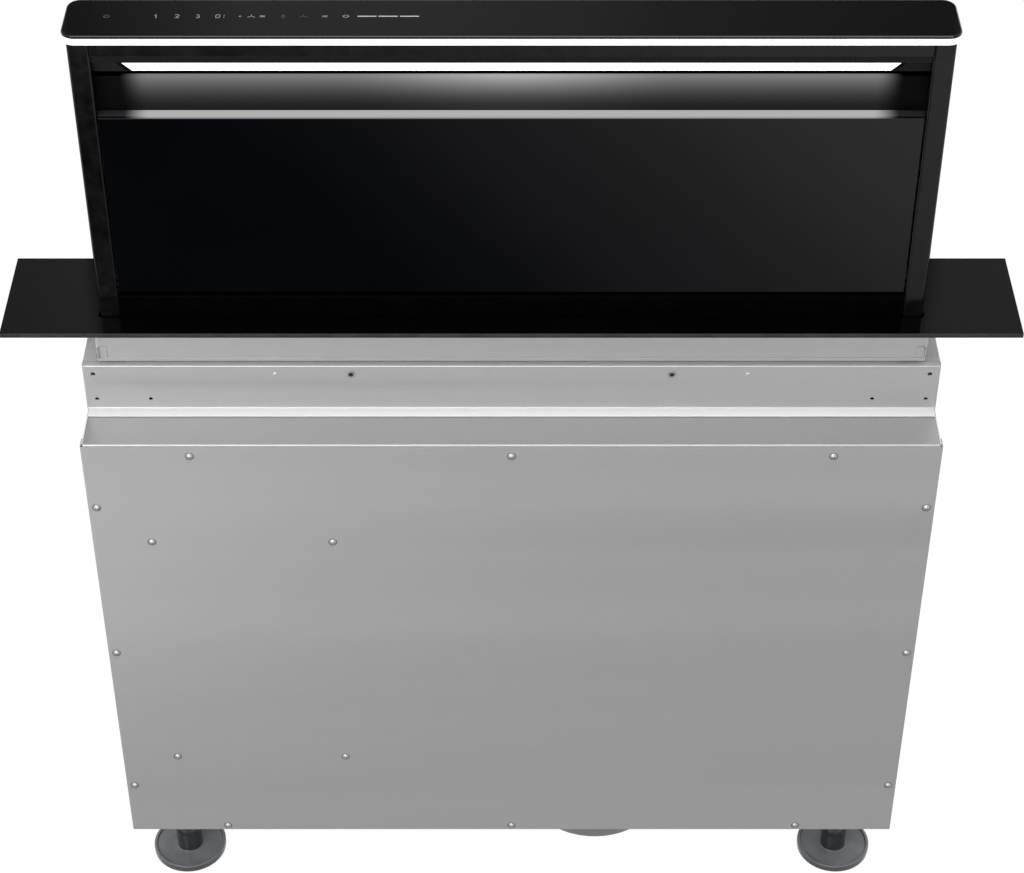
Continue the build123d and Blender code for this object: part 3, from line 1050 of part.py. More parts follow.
def foot_sockets():
    """The threaded sockets for the feet, through the floor of the housing."""
    bore = STUD_R + RUNNING
    wide = STUD_R + 1.0 - FIT / 2
    z_low, z_sheet = Z_BASE - FOOT_WASHER, Z_BASE
    z_top = Z_BASE + SHEET
    washer = make_face(Polyline((bore, z_low), (STEM_R, z_low), (STEM_R, z_sheet), (wide, z_sheet),
                                (wide, z_top), (FOOT_SOCKET_R + 5.0, z_top), (FOOT_SOCKET_R + 5.0, z_top + 3.0),
                                (FOOT_SOCKET_R, z_top + 3.0), (FOOT_SOCKET_R - 3.0, z_top + FOOT_SOCKET_HEIGHT),
                                (bore, z_top + FOOT_SOCKET_HEIGHT), close=True))
    socket = revolve(Plane.XZ * washer, Axis.Z)
    return Compound(children=[Pos(x, y, 0) * socket for x, y in FEET])


# ---------------------------------------------------------------- write the pieces
PIECES = {
    "side_panel_left": side_panel_left, "side_panel_right": side_panel_right,
    "neck_front": neck_front, "neck_rear": neck_rear, "neck_rivet_nuts": neck_rivet_nuts,
    "shelf_front": shelf_front, "shelf_rear": shelf_rear,
    "front_cover": front_cover, "rear_cover": rear_cover, "bottom_panel": bottom_panel,
    "cover_screws": cover_screws, "control_box": control_box, "control_board": control_board,
    "cable_gland": cable_gland, "cover_plate_glass": cover_plate_glass,
    "worktop_collar": worktop_collar, "slot_seal": slot_seal, "collar_clips": collar_clips,
    "cap_glass": cap_glass, "cap_light_band": cap_light_band, "cap_carrier": cap_carrier,
    "touch_board": touch_board, "tower_post_left": tower_post_left,
    "tower_post_right": tower_post_right, "tower_fascia": tower_fascia,
    "tower_rear_panel": tower_rear_panel, "light_bar_rail": light_bar_rail,
    "light_bar_diffuser": light_bar_diffuser, "air_deflector": air_deflector,
    "door_top_rail": door_top_rail, "tower_apron": tower_apron, "tower_skirt": tower_skirt,
    "filter_frame": filter_frame, "grease_filter_left": grease_filter_left,
    "grease_filter_right": grease_filter_right, "filter_drip_tray": filter_drip_tray,
    "front_glass": front_glass, "door_frame": door_frame,
    "lift_frame": lift_frame, "spindle_nuts": spindle_nuts, "slide_blocks": slide_blocks,
    "guide_rails": guide_rails, "spindle_bearings": spindle_bearings,
    "spindle_left": spindle_left, "spindle_right": spindle_right, "sync_belt": sync_belt,
    "lift_motor": lift_motor, "motor_bracket": motor_bracket,
    "blower_scroll": blower_scroll, "impeller": impeller, "blower_motor": blower_motor,
    "outlet_adaptor": outlet_adaptor,
    "damper_flap_left": damper_flap_left, "damper_flap_right": damper_flap_right,
    "exhaust_socket": exhaust_socket, "foot_sockets": foot_sockets,
}
FOOT_NAMES = ("foot_front_left", "foot_front_right", "foot_rear_left", "foot_rear_right")

os.makedirs("parts", exist_ok=True)
for name, make in PIECES.items():
    export_step(make(), f"parts/{name}.step")
for name, (x, y) in zip(FOOT_NAMES, FEET):
    export_step(foot(x, y), f"parts/{name}.step")
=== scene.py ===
"""The looks of a downdraft extractor: its finishes, rounded edges, printed marks and studio.

The fixed frame of its parts is loaded first. Each sub-assembly is a class that holds its
own sizes, builds its pieces in metres in the frame of the parts, and dresses them.
"""

from __future__ import annotations

import json
import logging
import math
from dataclasses import dataclass, field
from enum import Enum
from typing import Any, Iterable, Optional, Sequence, Union

import bmesh
import bpy
from mathutils import Matrix, Vector

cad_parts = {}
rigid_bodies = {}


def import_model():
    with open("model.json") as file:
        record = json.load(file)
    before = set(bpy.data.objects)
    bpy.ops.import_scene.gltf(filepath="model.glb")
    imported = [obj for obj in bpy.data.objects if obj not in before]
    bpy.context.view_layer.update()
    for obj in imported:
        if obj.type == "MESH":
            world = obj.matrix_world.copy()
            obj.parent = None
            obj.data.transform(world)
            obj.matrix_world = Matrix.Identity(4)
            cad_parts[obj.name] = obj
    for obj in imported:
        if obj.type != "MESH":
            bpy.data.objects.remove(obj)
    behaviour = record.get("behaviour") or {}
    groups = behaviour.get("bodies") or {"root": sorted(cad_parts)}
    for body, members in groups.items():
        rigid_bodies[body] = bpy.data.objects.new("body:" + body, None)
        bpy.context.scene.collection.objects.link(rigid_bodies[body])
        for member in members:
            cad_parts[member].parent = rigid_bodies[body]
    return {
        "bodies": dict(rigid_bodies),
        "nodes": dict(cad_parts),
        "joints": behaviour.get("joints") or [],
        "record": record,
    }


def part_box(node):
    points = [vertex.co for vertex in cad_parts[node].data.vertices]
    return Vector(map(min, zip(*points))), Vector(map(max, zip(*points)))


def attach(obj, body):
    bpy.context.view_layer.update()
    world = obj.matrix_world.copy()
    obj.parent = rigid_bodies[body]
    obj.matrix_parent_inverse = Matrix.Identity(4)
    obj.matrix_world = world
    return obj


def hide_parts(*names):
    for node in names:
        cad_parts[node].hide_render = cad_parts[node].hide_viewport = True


Point = tuple[float, float]
Triple = tuple[float, float, float]
Colour = Triple
Mesh = bmesh.types.BMesh
Tree = bpy.types.NodeTree
Node = bpy.types.Node
Socket = bpy.types.NodeSocket
Entries = dict[Union[str, int], Any]

log = logging.getLogger("extractor")

MM = 0.001
WELD = 1e-6
FLAT_ANGLE = math.radians(0.5)
SHARP_ANGLE = math.radians(50)
UPRIGHT = 0.9
NOISE_ROUGHNESS = 0.55
RELIEF_STRENGTH = 0.6
# Painted light down a face: where it weakens and ends along X, how fast it falls and what falls.
WASH_MIDDLE, WASH_ENDS = (0.46, 0.0), (1.03, 0.955)
WASH_POWER, WASH_SHARES = 2.4, (0.95, 0.05)


class Pattern(Enum):
    """The surface patterns that the finishes are drawn with."""

    BRUSHED = "brushed_grain"
    SPANGLE = "zinc_spangle"
    MOTTLE = "soft_mottle"
    PEBBLE = "moulded_pebble"
    BRISTLE = "brush_bristles"
    THREAD = "screw_thread"
    MESH = "wire_mesh"
    WASH = "light_from_above"


BRUSHED, SPANGLE, MOTTLE, PEBBLE, BRISTLE, THREAD, MESH, WASH = Pattern


class Axis(Enum):
    """The way a grain runs over a surface: along X, or no way more than another."""

    X = (0.02, 1.0, 1.0)
    ALL = (1.0, 1.0, 1.0)


# --- shader nodes
@dataclass
class Wiring:
    """Adds nodes to a shader tree and links them.

    Attributes:
        tree: The shader tree.
    """

    tree: Tree

    def fill(self, target: Node, entries: Entries) -> None:
        """Fills a node's inputs.

        Args:
            target: The node.
            entries: What goes into its inputs: sockets, which are linked, or plain values.
        """
        for entry, value in entries.items():
            if isinstance(value, Socket):
                self.tree.links.new(value, target.inputs[entry])
            else:
                target.inputs[entry].default_value = value

    def node(self, kind: str, entries: Entries, **settings: Any) -> Any:
        """Adds a node.

        Args:
            kind: The node's type, without the prefix that all of them have.
            entries: What goes into its inputs.
            settings: Its properties.

        Returns:
            Its outputs.
        """
        made = self.tree.nodes.new(f"ShaderNode{kind}")
        for name, value in settings.items():
            setattr(made, name, value)
        self.fill(made, entries)
        return made.outputs

    def maths(self, operation: str, *values: Any) -> Socket:
        """Adds a sum.

        Args:
            operation: The name of the sum.
            values: The sockets and numbers that go into it, in order.

        Returns:
            The result's socket.
        """
        return self.node("Math", dict(enumerate(values)), operation=operation)[0]

    def ramp(self, value: Socket, low: float, high: float, curve: str = "SMOOTHSTEP") -> Socket:
        """Stretches a value so that low becomes 0 and high becomes 1.

        Args:
            value: The socket to stretch.
            low: The value that becomes 0.
            high: The value that becomes 1.
            curve: How it runs between them.

        Returns:
            The stretched value's socket.
        """
        entries = {"Value": value, "From Min": low, "From Max": high}
        return self.node("MapRange", entries, interpolation_type=curve)["Result"]

    def mixed(self, share: Any, first: Any, second: Any, kind: str = "RGBA") -> Socket:
        """Mixes two values.

        Args:
            share: The second value's share.
            first: The first value.
            second: The second value.
            kind: What they are: colours or plain numbers.

        Returns:
            The mixed value's socket.
        """
        entries = {"Factor": share, "A": first, "B": second}
        return self.node("Mix", entries, data_type=kind)["Result"]

    def pattern(self, pattern: Pattern, place: Socket, scale: float) -> Any:
        """Adds a pattern's node group.

        Args:
            pattern: The pattern.
            place: Where it is read.
            scale: Its scale.

        Returns:
            Its outputs.
        """
        entries = {"Vector": place, "Scale": scale}
        return self.node("Group", entries, node_tree=pattern_group(pattern))


# --- shader patterns
@dataclass(frozen=True)
class Clouds:
    """A pattern that is drawn from noise.

    Attributes:
        fine: The scale and octaves of the fine noise, which also gives the relief.
        window: The values of the mask that become 0 and 1.
        broad: The scale and octaves of a broader noise in the mask, if there is one.
        share: The broad noise's share of the mask.
        flatten: What the place is multiplied by, to draw the noise out.
    """

    fine: Point
    window: Point
    broad: Optional[Point] = None
    share: float = 0.0
    flatten: Triple = (1.0, 1.0, 1.0)


CLOUDS = {
    BRUSHED: Clouds((1.0, 3.0), (0.3, 0.7), (0.012, 1.0), 0.45),
    MOTTLE: Clouds((1.0, 4.0), (0.32, 0.72)),
    PEBBLE: Clouds((1.0, 2.0), (0.3, 0.7), (0.03, 2.0), 1.0),
    BRISTLE: Clouds((1.0, 1.0), (0.35, 0.65), flatten=(1.0, 1.0, 0.05)),
}
WAVES = {THREAD: ("Z",), MESH: ("X", "Z")}


@dataclass
class Drawing(Wiring):
    """Draws a pattern's mask and height in a node group.

    Attributes:
        place: Where the pattern is read.
        scale: The group's scale.
    """

    place: Socket
    scale: Socket

    def noise(self, place: Socket, size: Point) -> Socket:
        """Adds a noise.

        Args:
            place: Where it is read.
            size: What the group's scale is multiplied by, and the noise's octaves.

        Returns:
            The noise's socket.
        """
        entries = {"Vector": place, "Scale": self.maths("MULTIPLY", self.scale, size[0]),
                   "Detail": size[1], "Roughness": NOISE_ROUGHNESS}
        return self.node("TexNoise", entries)["Fac"]

    def clouds(self, clouds: Clouds) -> tuple[Socket, Socket]:
        """Draws strokes, wipe marks, pebbles or fibres from noise.

        Args:
            clouds: What the noise is like.

        Returns:
            The mask and height sockets.
        """
        entries = {0: self.place, 1: clouds.flatten}
        flat = self.node("VectorMath", entries, operation="MULTIPLY")[0]
        fine = mask = self.noise(flat, clouds.fine)
        if clouds.broad:
            mask = self.mixed(clouds.share, fine, self.noise(flat, clouds.broad), "FLOAT")
        return self.ramp(mask, *clouds.window), fine

    def waves(self, ways: Sequence[str]) -> tuple[Socket, Socket]:
        """Draws the rings of a rolled thread or crossed wires.

        Args:
            ways: The axes that the waves follow.

        Returns:
            The mask and height sockets, which are the same.
        """
        entries = {"Vector": self.place, "Scale": self.scale}
        bands = [self.node("TexWave", entries, bands_direction=way)["Fac"] for way in ways]
        mask = self.maths("MAXIMUM", *bands) if len(bands) > 1 else bands[0]
        return mask, mask

    def spangle(self) -> tuple[Socket, Socket]:
        """Draws the flat crystals of a zinc coat.

        Returns:
            The mask and height sockets.
        """
        cells = self.node("TexVoronoi", {"Vector": self.place, "Scale": self.scale})
        tone = self.node("SeparateColor", {0: cells["Color"]})[0]
        soft = self.noise(self.place, (0.2, 2.0))
        return self.mixed(0.5, tone, soft, "FLOAT"), soft

    def wash(self) -> tuple[Socket, Socket]:
        """Draws painted light that falls from Z = 1 down to Z = 0, dark beyond X = 1 and -1.

        The group's scale is how much weaker it is away from the middle of X.

        Returns:
            The mask and height sockets.
        """
        parts = self.node("SeparateXYZ", {0: self.place})
        away = self.maths("ABSOLUTE", parts["X"])
        side = self.maths("SUBTRACT", 1.0, self.ramp(away, *WASH_MIDDLE))
        height = self.ramp(parts["Z"], 0.0, 1.0, "LINEAR")
        fall = self.maths("POWER", height, WASH_POWER)
        glow = self.maths("MULTIPLY_ADD", fall, *WASH_SHARES)
        rise = self.maths("SUBTRACT", 1.0, self.maths("MULTIPLY", side, self.scale))
        whole = self.maths("MULTIPLY", glow, rise)
        return self.maths("MULTIPLY", whole, self.ramp(away, *WASH_ENDS)), fall


def pattern_group(pattern: Pattern) -> Tree:
    """Gives the node group of a pattern, built when it is first wanted.

    Args:
        pattern: The pattern wanted.

    Returns:
        A group with the inputs Vector and Scale and the outputs Mask and Height.
    """
    tree = bpy.data.node_groups.get(pattern.value)
    if tree:
        return tree
    tree = bpy.data.node_groups.new(pattern.value, "ShaderNodeTree")
    for name, way, kind in (("Vector", "INPUT", "Vector"), ("Scale", "INPUT", "Float"),
                            ("Mask", "OUTPUT", "Float"), ("Height", "OUTPUT", "Float")):
        tree.interface.new_socket(name, in_out=way, socket_type=f"NodeSocket{kind}")
    start, end = tree.nodes.new("NodeGroupInput"), tree.nodes.new("NodeGroupOutput")
    drawing = Drawing(tree, start.outputs["Vector"], start.outputs["Scale"])
    if pattern in CLOUDS:
        mask, height = drawing.clouds(CLOUDS[pattern])
    elif pattern in WAVES:
        mask, height = drawing.waves(WAVES[pattern])
    else:
        mask, height = drawing.spangle() if pattern is SPANGLE else drawing.wash()
    drawing.fill(end, {"Mask": mask, "Height": height})
    return tree


# --- finishes
@dataclass(frozen=True)
class Finish:
    """One finish: its two shades, its pattern and how it shines.

    Attributes:
        name: The material's name.
        slot: The record's material slot it belongs to; it is not used.
        dark: The shade where the pattern's mask is 0.
        light: The shade where the mask is 1.
        pattern: What the shades are mixed by.
        scale: The pattern's size, in repeats per metre.
        rough: Roughness where the mask is 0 and where it is 1.
        metallic: How metallic it is.
        grain: Which way the pattern is drawn out.
        specular: The strength of the reflection on what isn't metal.
        bump: The height of the relief, in metres.
        glow: The strength of its own light, or 0.
    """

    name: str
    slot: str
    dark: Colour
    light: Colour
    pattern: Pattern
    scale: float
    rough: Point
    metallic: float = 0.0
    grain: Axis = Axis.ALL
    specular: float = 0.5
    bump: float = 0.0
    glow: float = 0.0

    def material(self) -> bpy.types.Material:
        """Makes the material.

        Returns:
            The finished material.
        """
        made = bpy.data.materials.new(self.name)
        made.use_nodes = True
        wiring = Wiring(made.node_tree)
        shader = made.node_tree.nodes["Principled BSDF"]
        place = {0: wiring.node("TexCoord", {})["Object"], 1: self.grain.value}
        drawn_at = wiring.node("VectorMath", place, operation="MULTIPLY")[0]
        drawn = wiring.pattern(self.pattern, drawn_at, self.scale)
        mask = drawn["Mask"]
        shade = wiring.mixed(mask, (*self.dark, 1.0), (*self.light, 1.0))
        span = {"Value": mask, "To Min": self.rough[0], "To Max": self.rough[1]}
        wiring.fill(shader, {
            "Metallic": self.metallic, "Specular IOR Level": self.specular,
            "Base Color": shade, "Roughness": wiring.node("MapRange", span)["Result"],
        })
        if self.glow:
            wiring.fill(shader, {"Emission Color": shade, "Emission Strength": self.glow})
        if self.bump:
            relief = wiring.node("Bump", {"Strength": RELIEF_STRENGTH, "Distance": self.bump,
                                          "Height": drawn["Height"]})
            wiring.fill(shader, {"Normal": relief["Normal"]})
        return made


@dataclass(frozen=True)
class LitFinish(Finish):
    """A finish with painted light: a glow for the light a lamp in its own piece throws down it.

    Attributes:
        lit_middle: The middle of the lit stretch, at its lowest line.
        lit_span: Half its length, and its height.
        lit_glow: How bright it is where the light is strongest.
        lit_focus: How much weaker it is away from the middle.
    """

    lit_middle: Triple = (0.0, 0.0, 0.0)
    lit_span: Triple = (1.0, 1.0, 1.0)
    lit_glow: float = 0.4
    lit_focus: float = 0.0

    def material(self) -> bpy.types.Material:
        """Makes the material and adds the painted light as a glow.

        Returns:
            The finished material.
        """
        made = super().material()
        wiring = Wiring(made.node_tree)
        entries = {"Vector": wiring.node("TexCoord", {})["Object"], "Location": self.lit_middle,
                   "Scale": self.lit_span}
        fitted = wiring.node("Mapping", entries, vector_type="TEXTURE")["Vector"]
        wash = wiring.pattern(WASH, fitted, self.lit_focus)
        shine = wiring.mixed(wash["Mask"], (0.0, 0.0, 0.0, 1.0), (1.0, 1.0, 1.0, 1.0))
        wiring.fill(made.node_tree.nodes["Principled BSDF"],
                    {"Emission Color": shine, "Emission Strength": self.lit_glow})
        return made


def greys(dark: float, light: float, warm: float = 0.0) -> tuple[Colour, Colour]:
    """Gives two neutral shades, warmer or cooler by a small share.

    Args:
        dark: How light the first one is, in linear light.
        light: How light the second one is.
        warm: The share by which red rises and blue falls.

    Returns:
        The colours.
    """
    low, high = ((tone * (1 + warm), tone, tone * (1 - warm)) for tone in (dark, light))
    return low, high


SATIN_STEEL = Finish("satin_steel", "brushed_steel", *greys(0.40, 0.43), BRUSHED, 1600.0,
                     (0.34, 0.42), 0.6, grain=Axis.X, bump=0.00001)
# Neck and collar under the plate: a lighter copy of the satin steel, painted light where the plate
# keeps light off.
NECK_STEEL_PAINTED_LIGHT = Finish("neck_steel_painted_light", "brushed_steel", *greys(0.455, 0.485), BRUSHED, 1600.0,
                    (0.34, 0.42), 0.6, grain=Axis.X, bump=0.00001)
# Flat folds of neck and side panels: a far lighter steel, painted light where the worktop plate
# shades them.
FOLD_STEEL_PAINTED_LIGHT = Finish("fold_steel_painted_light", "brushed_steel", *greys(0.68, 0.74), BRUSHED, 1600.0,
                    (0.4, 0.5), grain=Axis.X, bump=0.00001)
ZINC_SHEET = Finish("zinc_sheet", "galvanised_sheet", *greys(0.36, 0.45, -0.01), SPANGLE, 90.0,
                    (0.42, 0.55), 0.6, bump=0.00001)
ZINC_SOCKET = Finish("zinc_socket", "galvanised_sheet", *greys(0.24, 0.3), BRUSHED, 900.0,
                     (0.34, 0.46), 0.75, bump=0.00002)
BLACK_GLASS = Finish("black_glass", "black_glass", (0.0008, 0.0010, 0.0016),
                     (0.0012, 0.0014, 0.0022), MOTTLE, 7.0, (0.04, 0.07), specular=0.3)
PLATE_GLASS = Finish("plate_glass", "black_glass", (0.0008, 0.0009, 0.0012),
                     (0.0012, 0.0013, 0.0017), MOTTLE, 9.0, (0.04, 0.07), specular=0.3)
BLACK_ENAMEL = Finish("black_enamel", "black_metal", *greys(0.0015, 0.003, -0.05), PEBBLE, 2200.0,
                      (0.14, 0.2), specular=0.28, bump=0.000004)
APRON_BLACK = Finish("apron_black", "black_metal", *greys(0.0004, 0.0008), PEBBLE, 1800.0,
                     (0.5, 0.6), specular=0.012, bump=0.000004)
# Air deflector: base kept near black as painted shade of its recess, with painted light of the
# light bar as a glow.
DEFLECTOR_SHADE_AND_LIGHT = LitFinish(
    "deflector_painted_shade_and_light", "aluminium", *greys(0.0015, 0.003), BRUSHED, 1300.0, (0.45, 0.55),
    grain=Axis.X, specular=0.03, lit_middle=(0.0, 0.0, 1.041), lit_span=(0.362, 1.0, 0.0394),
    lit_glow=0.4, lit_focus=0.5)
# Door's top rail: nearly black aluminium whose brightness is painted light, a glow for the light
# bar's light on it.
TRIM_PAINTED_LIGHT = LitFinish(
    "trim_painted_light", "aluminium", *greys(0.012, 0.022), BRUSHED, 1500.0, (0.5, 0.6),
    grain=Axis.X, specular=0.1, lit_middle=(0.0, 0.0, 0.9), lit_span=(0.361, 1.0, 0.05),
    lit_glow=0.42)
# Door glass's top edge: a painted highlight, a glow for the light bar's light on it.
LIT_EDGE = LitFinish(
    "lit_glass_edge", "black_glass", *greys(0.003, 0.006), MOTTLE, 300.0, (0.3, 0.4),
    specular=0.1, lit_middle=(0.0, 0.0, 0.9), lit_span=(0.36, 1.0, 0.05), lit_glow=0.3)
# Plate's upright edge faces: a ground edge, painted lighter than the glass as a painted highlight.
GROUND_EDGE_HIGHLIGHT = Finish("ground_edge_painted_highlight", "black_glass", *greys(0.012, 0.022), PEBBLE, 1500.0,
                     (0.35, 0.45), specular=0.3, bump=0.000004)
DARK_STEEL = Finish("dark_steel", "black_metal", *greys(0.004, 0.007), BRUSHED, 1400.0,
                    (0.35, 0.45), grain=Axis.X, specular=0.12, bump=0.00001)
SATIN_ALUMINIUM = Finish("satin_aluminium", "aluminium", *greys(0.5, 0.58), BRUSHED, 1500.0,
                         (0.3, 0.4), 0.85, grain=Axis.X, bump=0.00001)
FILTER_MESH = Finish("filter_mesh", "aluminium", *greys(0.32, 0.52), MESH, 90.0, (0.3, 0.42), 0.9,
                     bump=0.0003)
OPAL_BAND = Finish("opal_band", "light_diffuser", *greys(0.93, 0.99, -0.01), MOTTLE, 30.0,
                   (0.3, 0.36), glow=0.6)
OPAL_LAMP = Finish("opal_lamp", "light_diffuser", *greys(0.97, 1.0, -0.015), MOTTLE, 60.0,
                   (0.3, 0.36), glow=1.4)
BAR_MARK = Finish("bars", "light_diffuser", *greys(0.4, 0.46, -0.02), MOTTLE, 300.0, (0.4, 0.5),
                  glow=0.1)
SYMBOL_MARK = Finish("symbols", "light_diffuser", *greys(0.2, 0.26, -0.02), MOTTLE, 300.0,
                     (0.4, 0.5), glow=0.1)
DIM_MARK = Finish("dim_symbols", "light_diffuser", *greys(0.035, 0.05), MOTTLE, 300.0, (0.4, 0.5))
FOOT_PLASTIC = Finish("foot_plastic", "black_plastic", *greys(0.02, 0.03, -0.05), PEBBLE, 1500.0,
                      (0.14, 0.2), specular=0.6, bump=0.000004)
# Up-facing faces of the feet: light grey on black plastic, a painted reflection of the bright
# surroundings.
FOOT_DISH_PAINTED_REFLECTION = Finish("foot_dish_painted_reflection", "black_plastic", *greys(0.22, 0.27, -0.06), PEBBLE, 1500.0,
                   (0.14, 0.2), specular=0.6, bump=0.000004)
BLACK_PLASTIC = Finish("black_plastic", "black_plastic", *greys(0.012, 0.02), PEBBLE, 1500.0,
                       (0.36, 0.46), bump=0.00003)
WHITE_PLASTIC = Finish("white_plastic", "white_plastic", *greys(0.66, 0.74, 0.02), PEBBLE, 1200.0,
                       (0.4, 0.5), bump=0.00002)
SEAL_BRUSH = Finish("seal_brush", "seal_brush", *greys(0.004, 0.03), BRISTLE, 1500.0, (0.7, 0.9),
                    bump=0.0003)
SCREW_STEEL = Finish("screw_steel", "screw_steel", *greys(0.36, 0.46), MOTTLE, 400.0,
                     (0.34, 0.44), 0.85)
SCREW_SHADOW = Finish("screw_shadow", "black_plastic", *greys(0.03, 0.05), PEBBLE, 900.0,
                      (0.4, 0.5))
THREADED_STEEL = Finish("threaded_steel", "screw_steel", *greys(0.25, 0.45), THREAD, 80.0,
                        (0.25, 0.35), 0.9, bump=0.0006)
BRONZE = Finish("bronze", "bronze", (0.42, 0.25, 0.09), (0.5, 0.31, 0.12), MOTTLE, 200.0,
                (0.3, 0.42), 0.9)
BELT_RUBBER = Finish("belt_rubber", "belt_rubber", *greys(0.012, 0.02), PEBBLE, 900.0,
                     (0.6, 0.75), bump=0.00005)
BOARD_GREEN = Finish("board_green", "circuit_board", (0.006, 0.05, 0.02), (0.02, 0.12, 0.05),
                     MESH, 120.0, (0.3, 0.45))
MOTOR_PAINT = Finish("motor_paint", "motor_steel", *greys(0.03, 0.045), PEBBLE, 1200.0,
                     (0.35, 0.45), 0.3, bump=0.00003)


# --- workshop
class Workshop:
    """Dresses the frame's own nodes and adds pieces to its bodies."""

    def __init__(self, frame: dict[str, Any]) -> None:
        """Keeps the frame and an empty shelf of materials.

        Args:
            frame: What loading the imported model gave.
        """
        self.nodes: dict[str, bpy.types.Object] = frame["nodes"]
        bodies = frame["record"]["behaviour"]["bodies"]
        self.body_of = {name: body for body, names in bodies.items() for name in names}
        self._shelf: dict[str, bpy.types.Material] = {}

    def material(self, finish: Finish) -> bpy.types.Material:
        """Gives a finish's material, made once.

        Args:
            finish: The finish wanted.

        Returns:
            Its material.
        """
        if finish.name not in self._shelf:
            self._shelf[finish.name] = finish.material()
        return self._shelf[finish.name]

    def paint(self, finish: Finish, names: Iterable[str]) -> None:
        """Gives nodes of the frame a finish, and leaves their shape as it is.

        Args:
            finish: The finish.
            names: The nodes.
        """
        for name in names:
            data = self.nodes[name].data
            data.materials.clear()
            data.materials.append(self.material(finish))
            log.info("painted %s with %s", name, finish.name)

    def copy_of(self, name: str, joined: bool = False) -> Mesh:
        """Copies a node's mesh.

        Args:
            name: The node.
            joined: Whether triangles that lie in one plane are joined into one face.

        Returns:
            The copy, with its points welded.
        """
        shape = bmesh.new()
        shape.from_mesh(self.nodes[name].data)
        bmesh.ops.remove_doubles(shape, verts=shape.verts, dist=WELD)
        if joined:
            bmesh.ops.dissolve_limit(shape, angle_limit=FLAT_ANGLE, verts=shape.verts,
                                     edges=shape.edges)
        return shape

    def add(
        self, shape: Mesh, name: str, finish: Finish, body: str,
        stands_for: Sequence[str] = (), smooth: float = 35.0,
    ) -> bpy.types.Object:
        """Turns a finished mesh into a piece that rides on a body.

        Args:
            shape: The mesh, in place, which is used up.
            name: The piece's name.
            finish: Its finish.
            body: The body it rides on.
            stands_for: Nodes of the frame that it replaces.
            smooth: Edges sharper than this many degrees stay sharp.

        Returns:
            The piece.
        """
        data = bpy.data.meshes.new(name)
        bmesh.ops.recalc_face_normals(shape, faces=shape.faces)
        for face in shape.faces:
            face.smooth = True
        shape.to_mesh(data)
        shape.free()
        data.set_sharp_from_angle(angle=math.radians(smooth))
        data.materials.append(self.material(finish))
        piece = bpy.data.objects.new(name, data)
        bpy.context.scene.collection.objects.link(piece)
        shading = piece.modifiers.new("flats_stay_flat", "WEIGHTED_NORMAL")
        shading.mode, shading.weight, shading.keep_sharp = "FACE_AREA", 100, True
        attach(piece, body)
        if stands_for:
            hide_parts(*stands_for)
        log.info("added %s to %s, %d faces", name, body, len(data.polygons))
        return piece

    def soften(
        self, finish: Finish, width: float, names: Iterable[str], rim: Optional[Finish] = None
    ) -> None:
        """Puts rounded copies in the place of nodes, so that their edges catch the light.

        Args:
            finish: The finish of the copies.
            width: How wide the rounding is.
            names: The nodes.
            rim: A finish of their own for faces that stand upright, such as a ground edge with a
                painted highlight.
        """
        for name in names:
            shape = self.copy_of(name, joined=True)
            sharp = [edge for edge in shape.edges
                     if len(edge.link_faces) == 2 and edge.calc_face_angle(0.0) > SHARP_ANGLE]
            rounded(shape, sharp, width, 2)
            piece = self.add(shape, f"{name}_finished", finish, self.body_of[name], [name])
            if rim:
                self.second(piece, rim, UPRIGHT)

    def second(self, piece: bpy.types.Object, finish: Finish, slant: float) -> None:
        """Gives the upright faces of a piece a finish of their own.

        Args:
            piece: The piece.
            finish: The finish of its upright faces.
            slant: Faces whose normal rises or falls by less than this count as upright.
        """
        piece.data.materials.append(self.material(finish))
        for face in piece.data.polygons:
            face.material_index = int(abs(face.normal.z) < slant)


# --- mesh helpers
def rounded(shape: Mesh, edges: Sequence[bmesh.types.BMEdge], width: float, steps: int) -> None:
    """Rounds edges of a mesh.

    Args:
        shape: The mesh.
        edges: The edges.
        width: How wide the rounding is.
        steps: How many steps it has.
    """
    bmesh.ops.bevel(shape, geom=edges, offset=width, offset_type="OFFSET", segments=steps,
                    profile=0.5, affect="EDGES", clamp_overlap=True, material=-1)


def turned(profile: Iterable[Point], steps: int, place: Matrix) -> Mesh:
    """Spins a profile round Z and moves it to its place.

    Args:
        profile: Radius and height of its points, in order.
        steps: How many steps make the full turn.
        place: Where it goes.

    Returns:
        The closed, turned mesh.
    """
    shape = bmesh.new()
    points = [shape.verts.new((radius, 0.0, height)) for radius, height in profile]
    lines = [shape.edges.new(pair) for pair in zip(points, points[1:])]
    bmesh.ops.spin(shape, geom=points + lines, cent=(0, 0, 0), axis=(0, 0, 1),
                   angle=math.tau, steps=steps, use_merge=True)
    bmesh.ops.remove_doubles(shape, verts=shape.verts, dist=WELD)
    bmesh.ops.recalc_face_normals(shape, faces=shape.faces)
    bmesh.ops.transform(shape, matrix=place, verts=shape.verts)
    return shape


def arc_points(centre: Point, radius: float, start: float, end: float, steps: int) -> list[Point]:
    """Gives points along an arc, for a turned profile.

    Args:
        centre: The arc's middle, as radius and height.
        radius: The arc's own radius.
        start: Its first angle in degrees.
        end: Its last angle in degrees.
        steps: How many parts it is divided into.

    Returns:
        The points, both ends included.
    """
    angles = [math.radians(start + (end - start) * i / steps) for i in range(steps + 1)]
    return [(centre[0] + radius * math.cos(a), centre[1] + radius * math.sin(a)) for a in angles]


def merged(shapes: Iterable[Mesh]) -> Mesh:
    """Joins several meshes into one, and frees them.

    Args:
        shapes: The meshes.

    Returns:
        One mesh that holds them all.
    """
    whole = bmesh.new()
    for shape in shapes:
        part = bpy.data.meshes.new("part")
        shape.to_mesh(part)
        shape.free()
        whole.from_mesh(part)
        bpy.data.meshes.remove(part)
    return whole


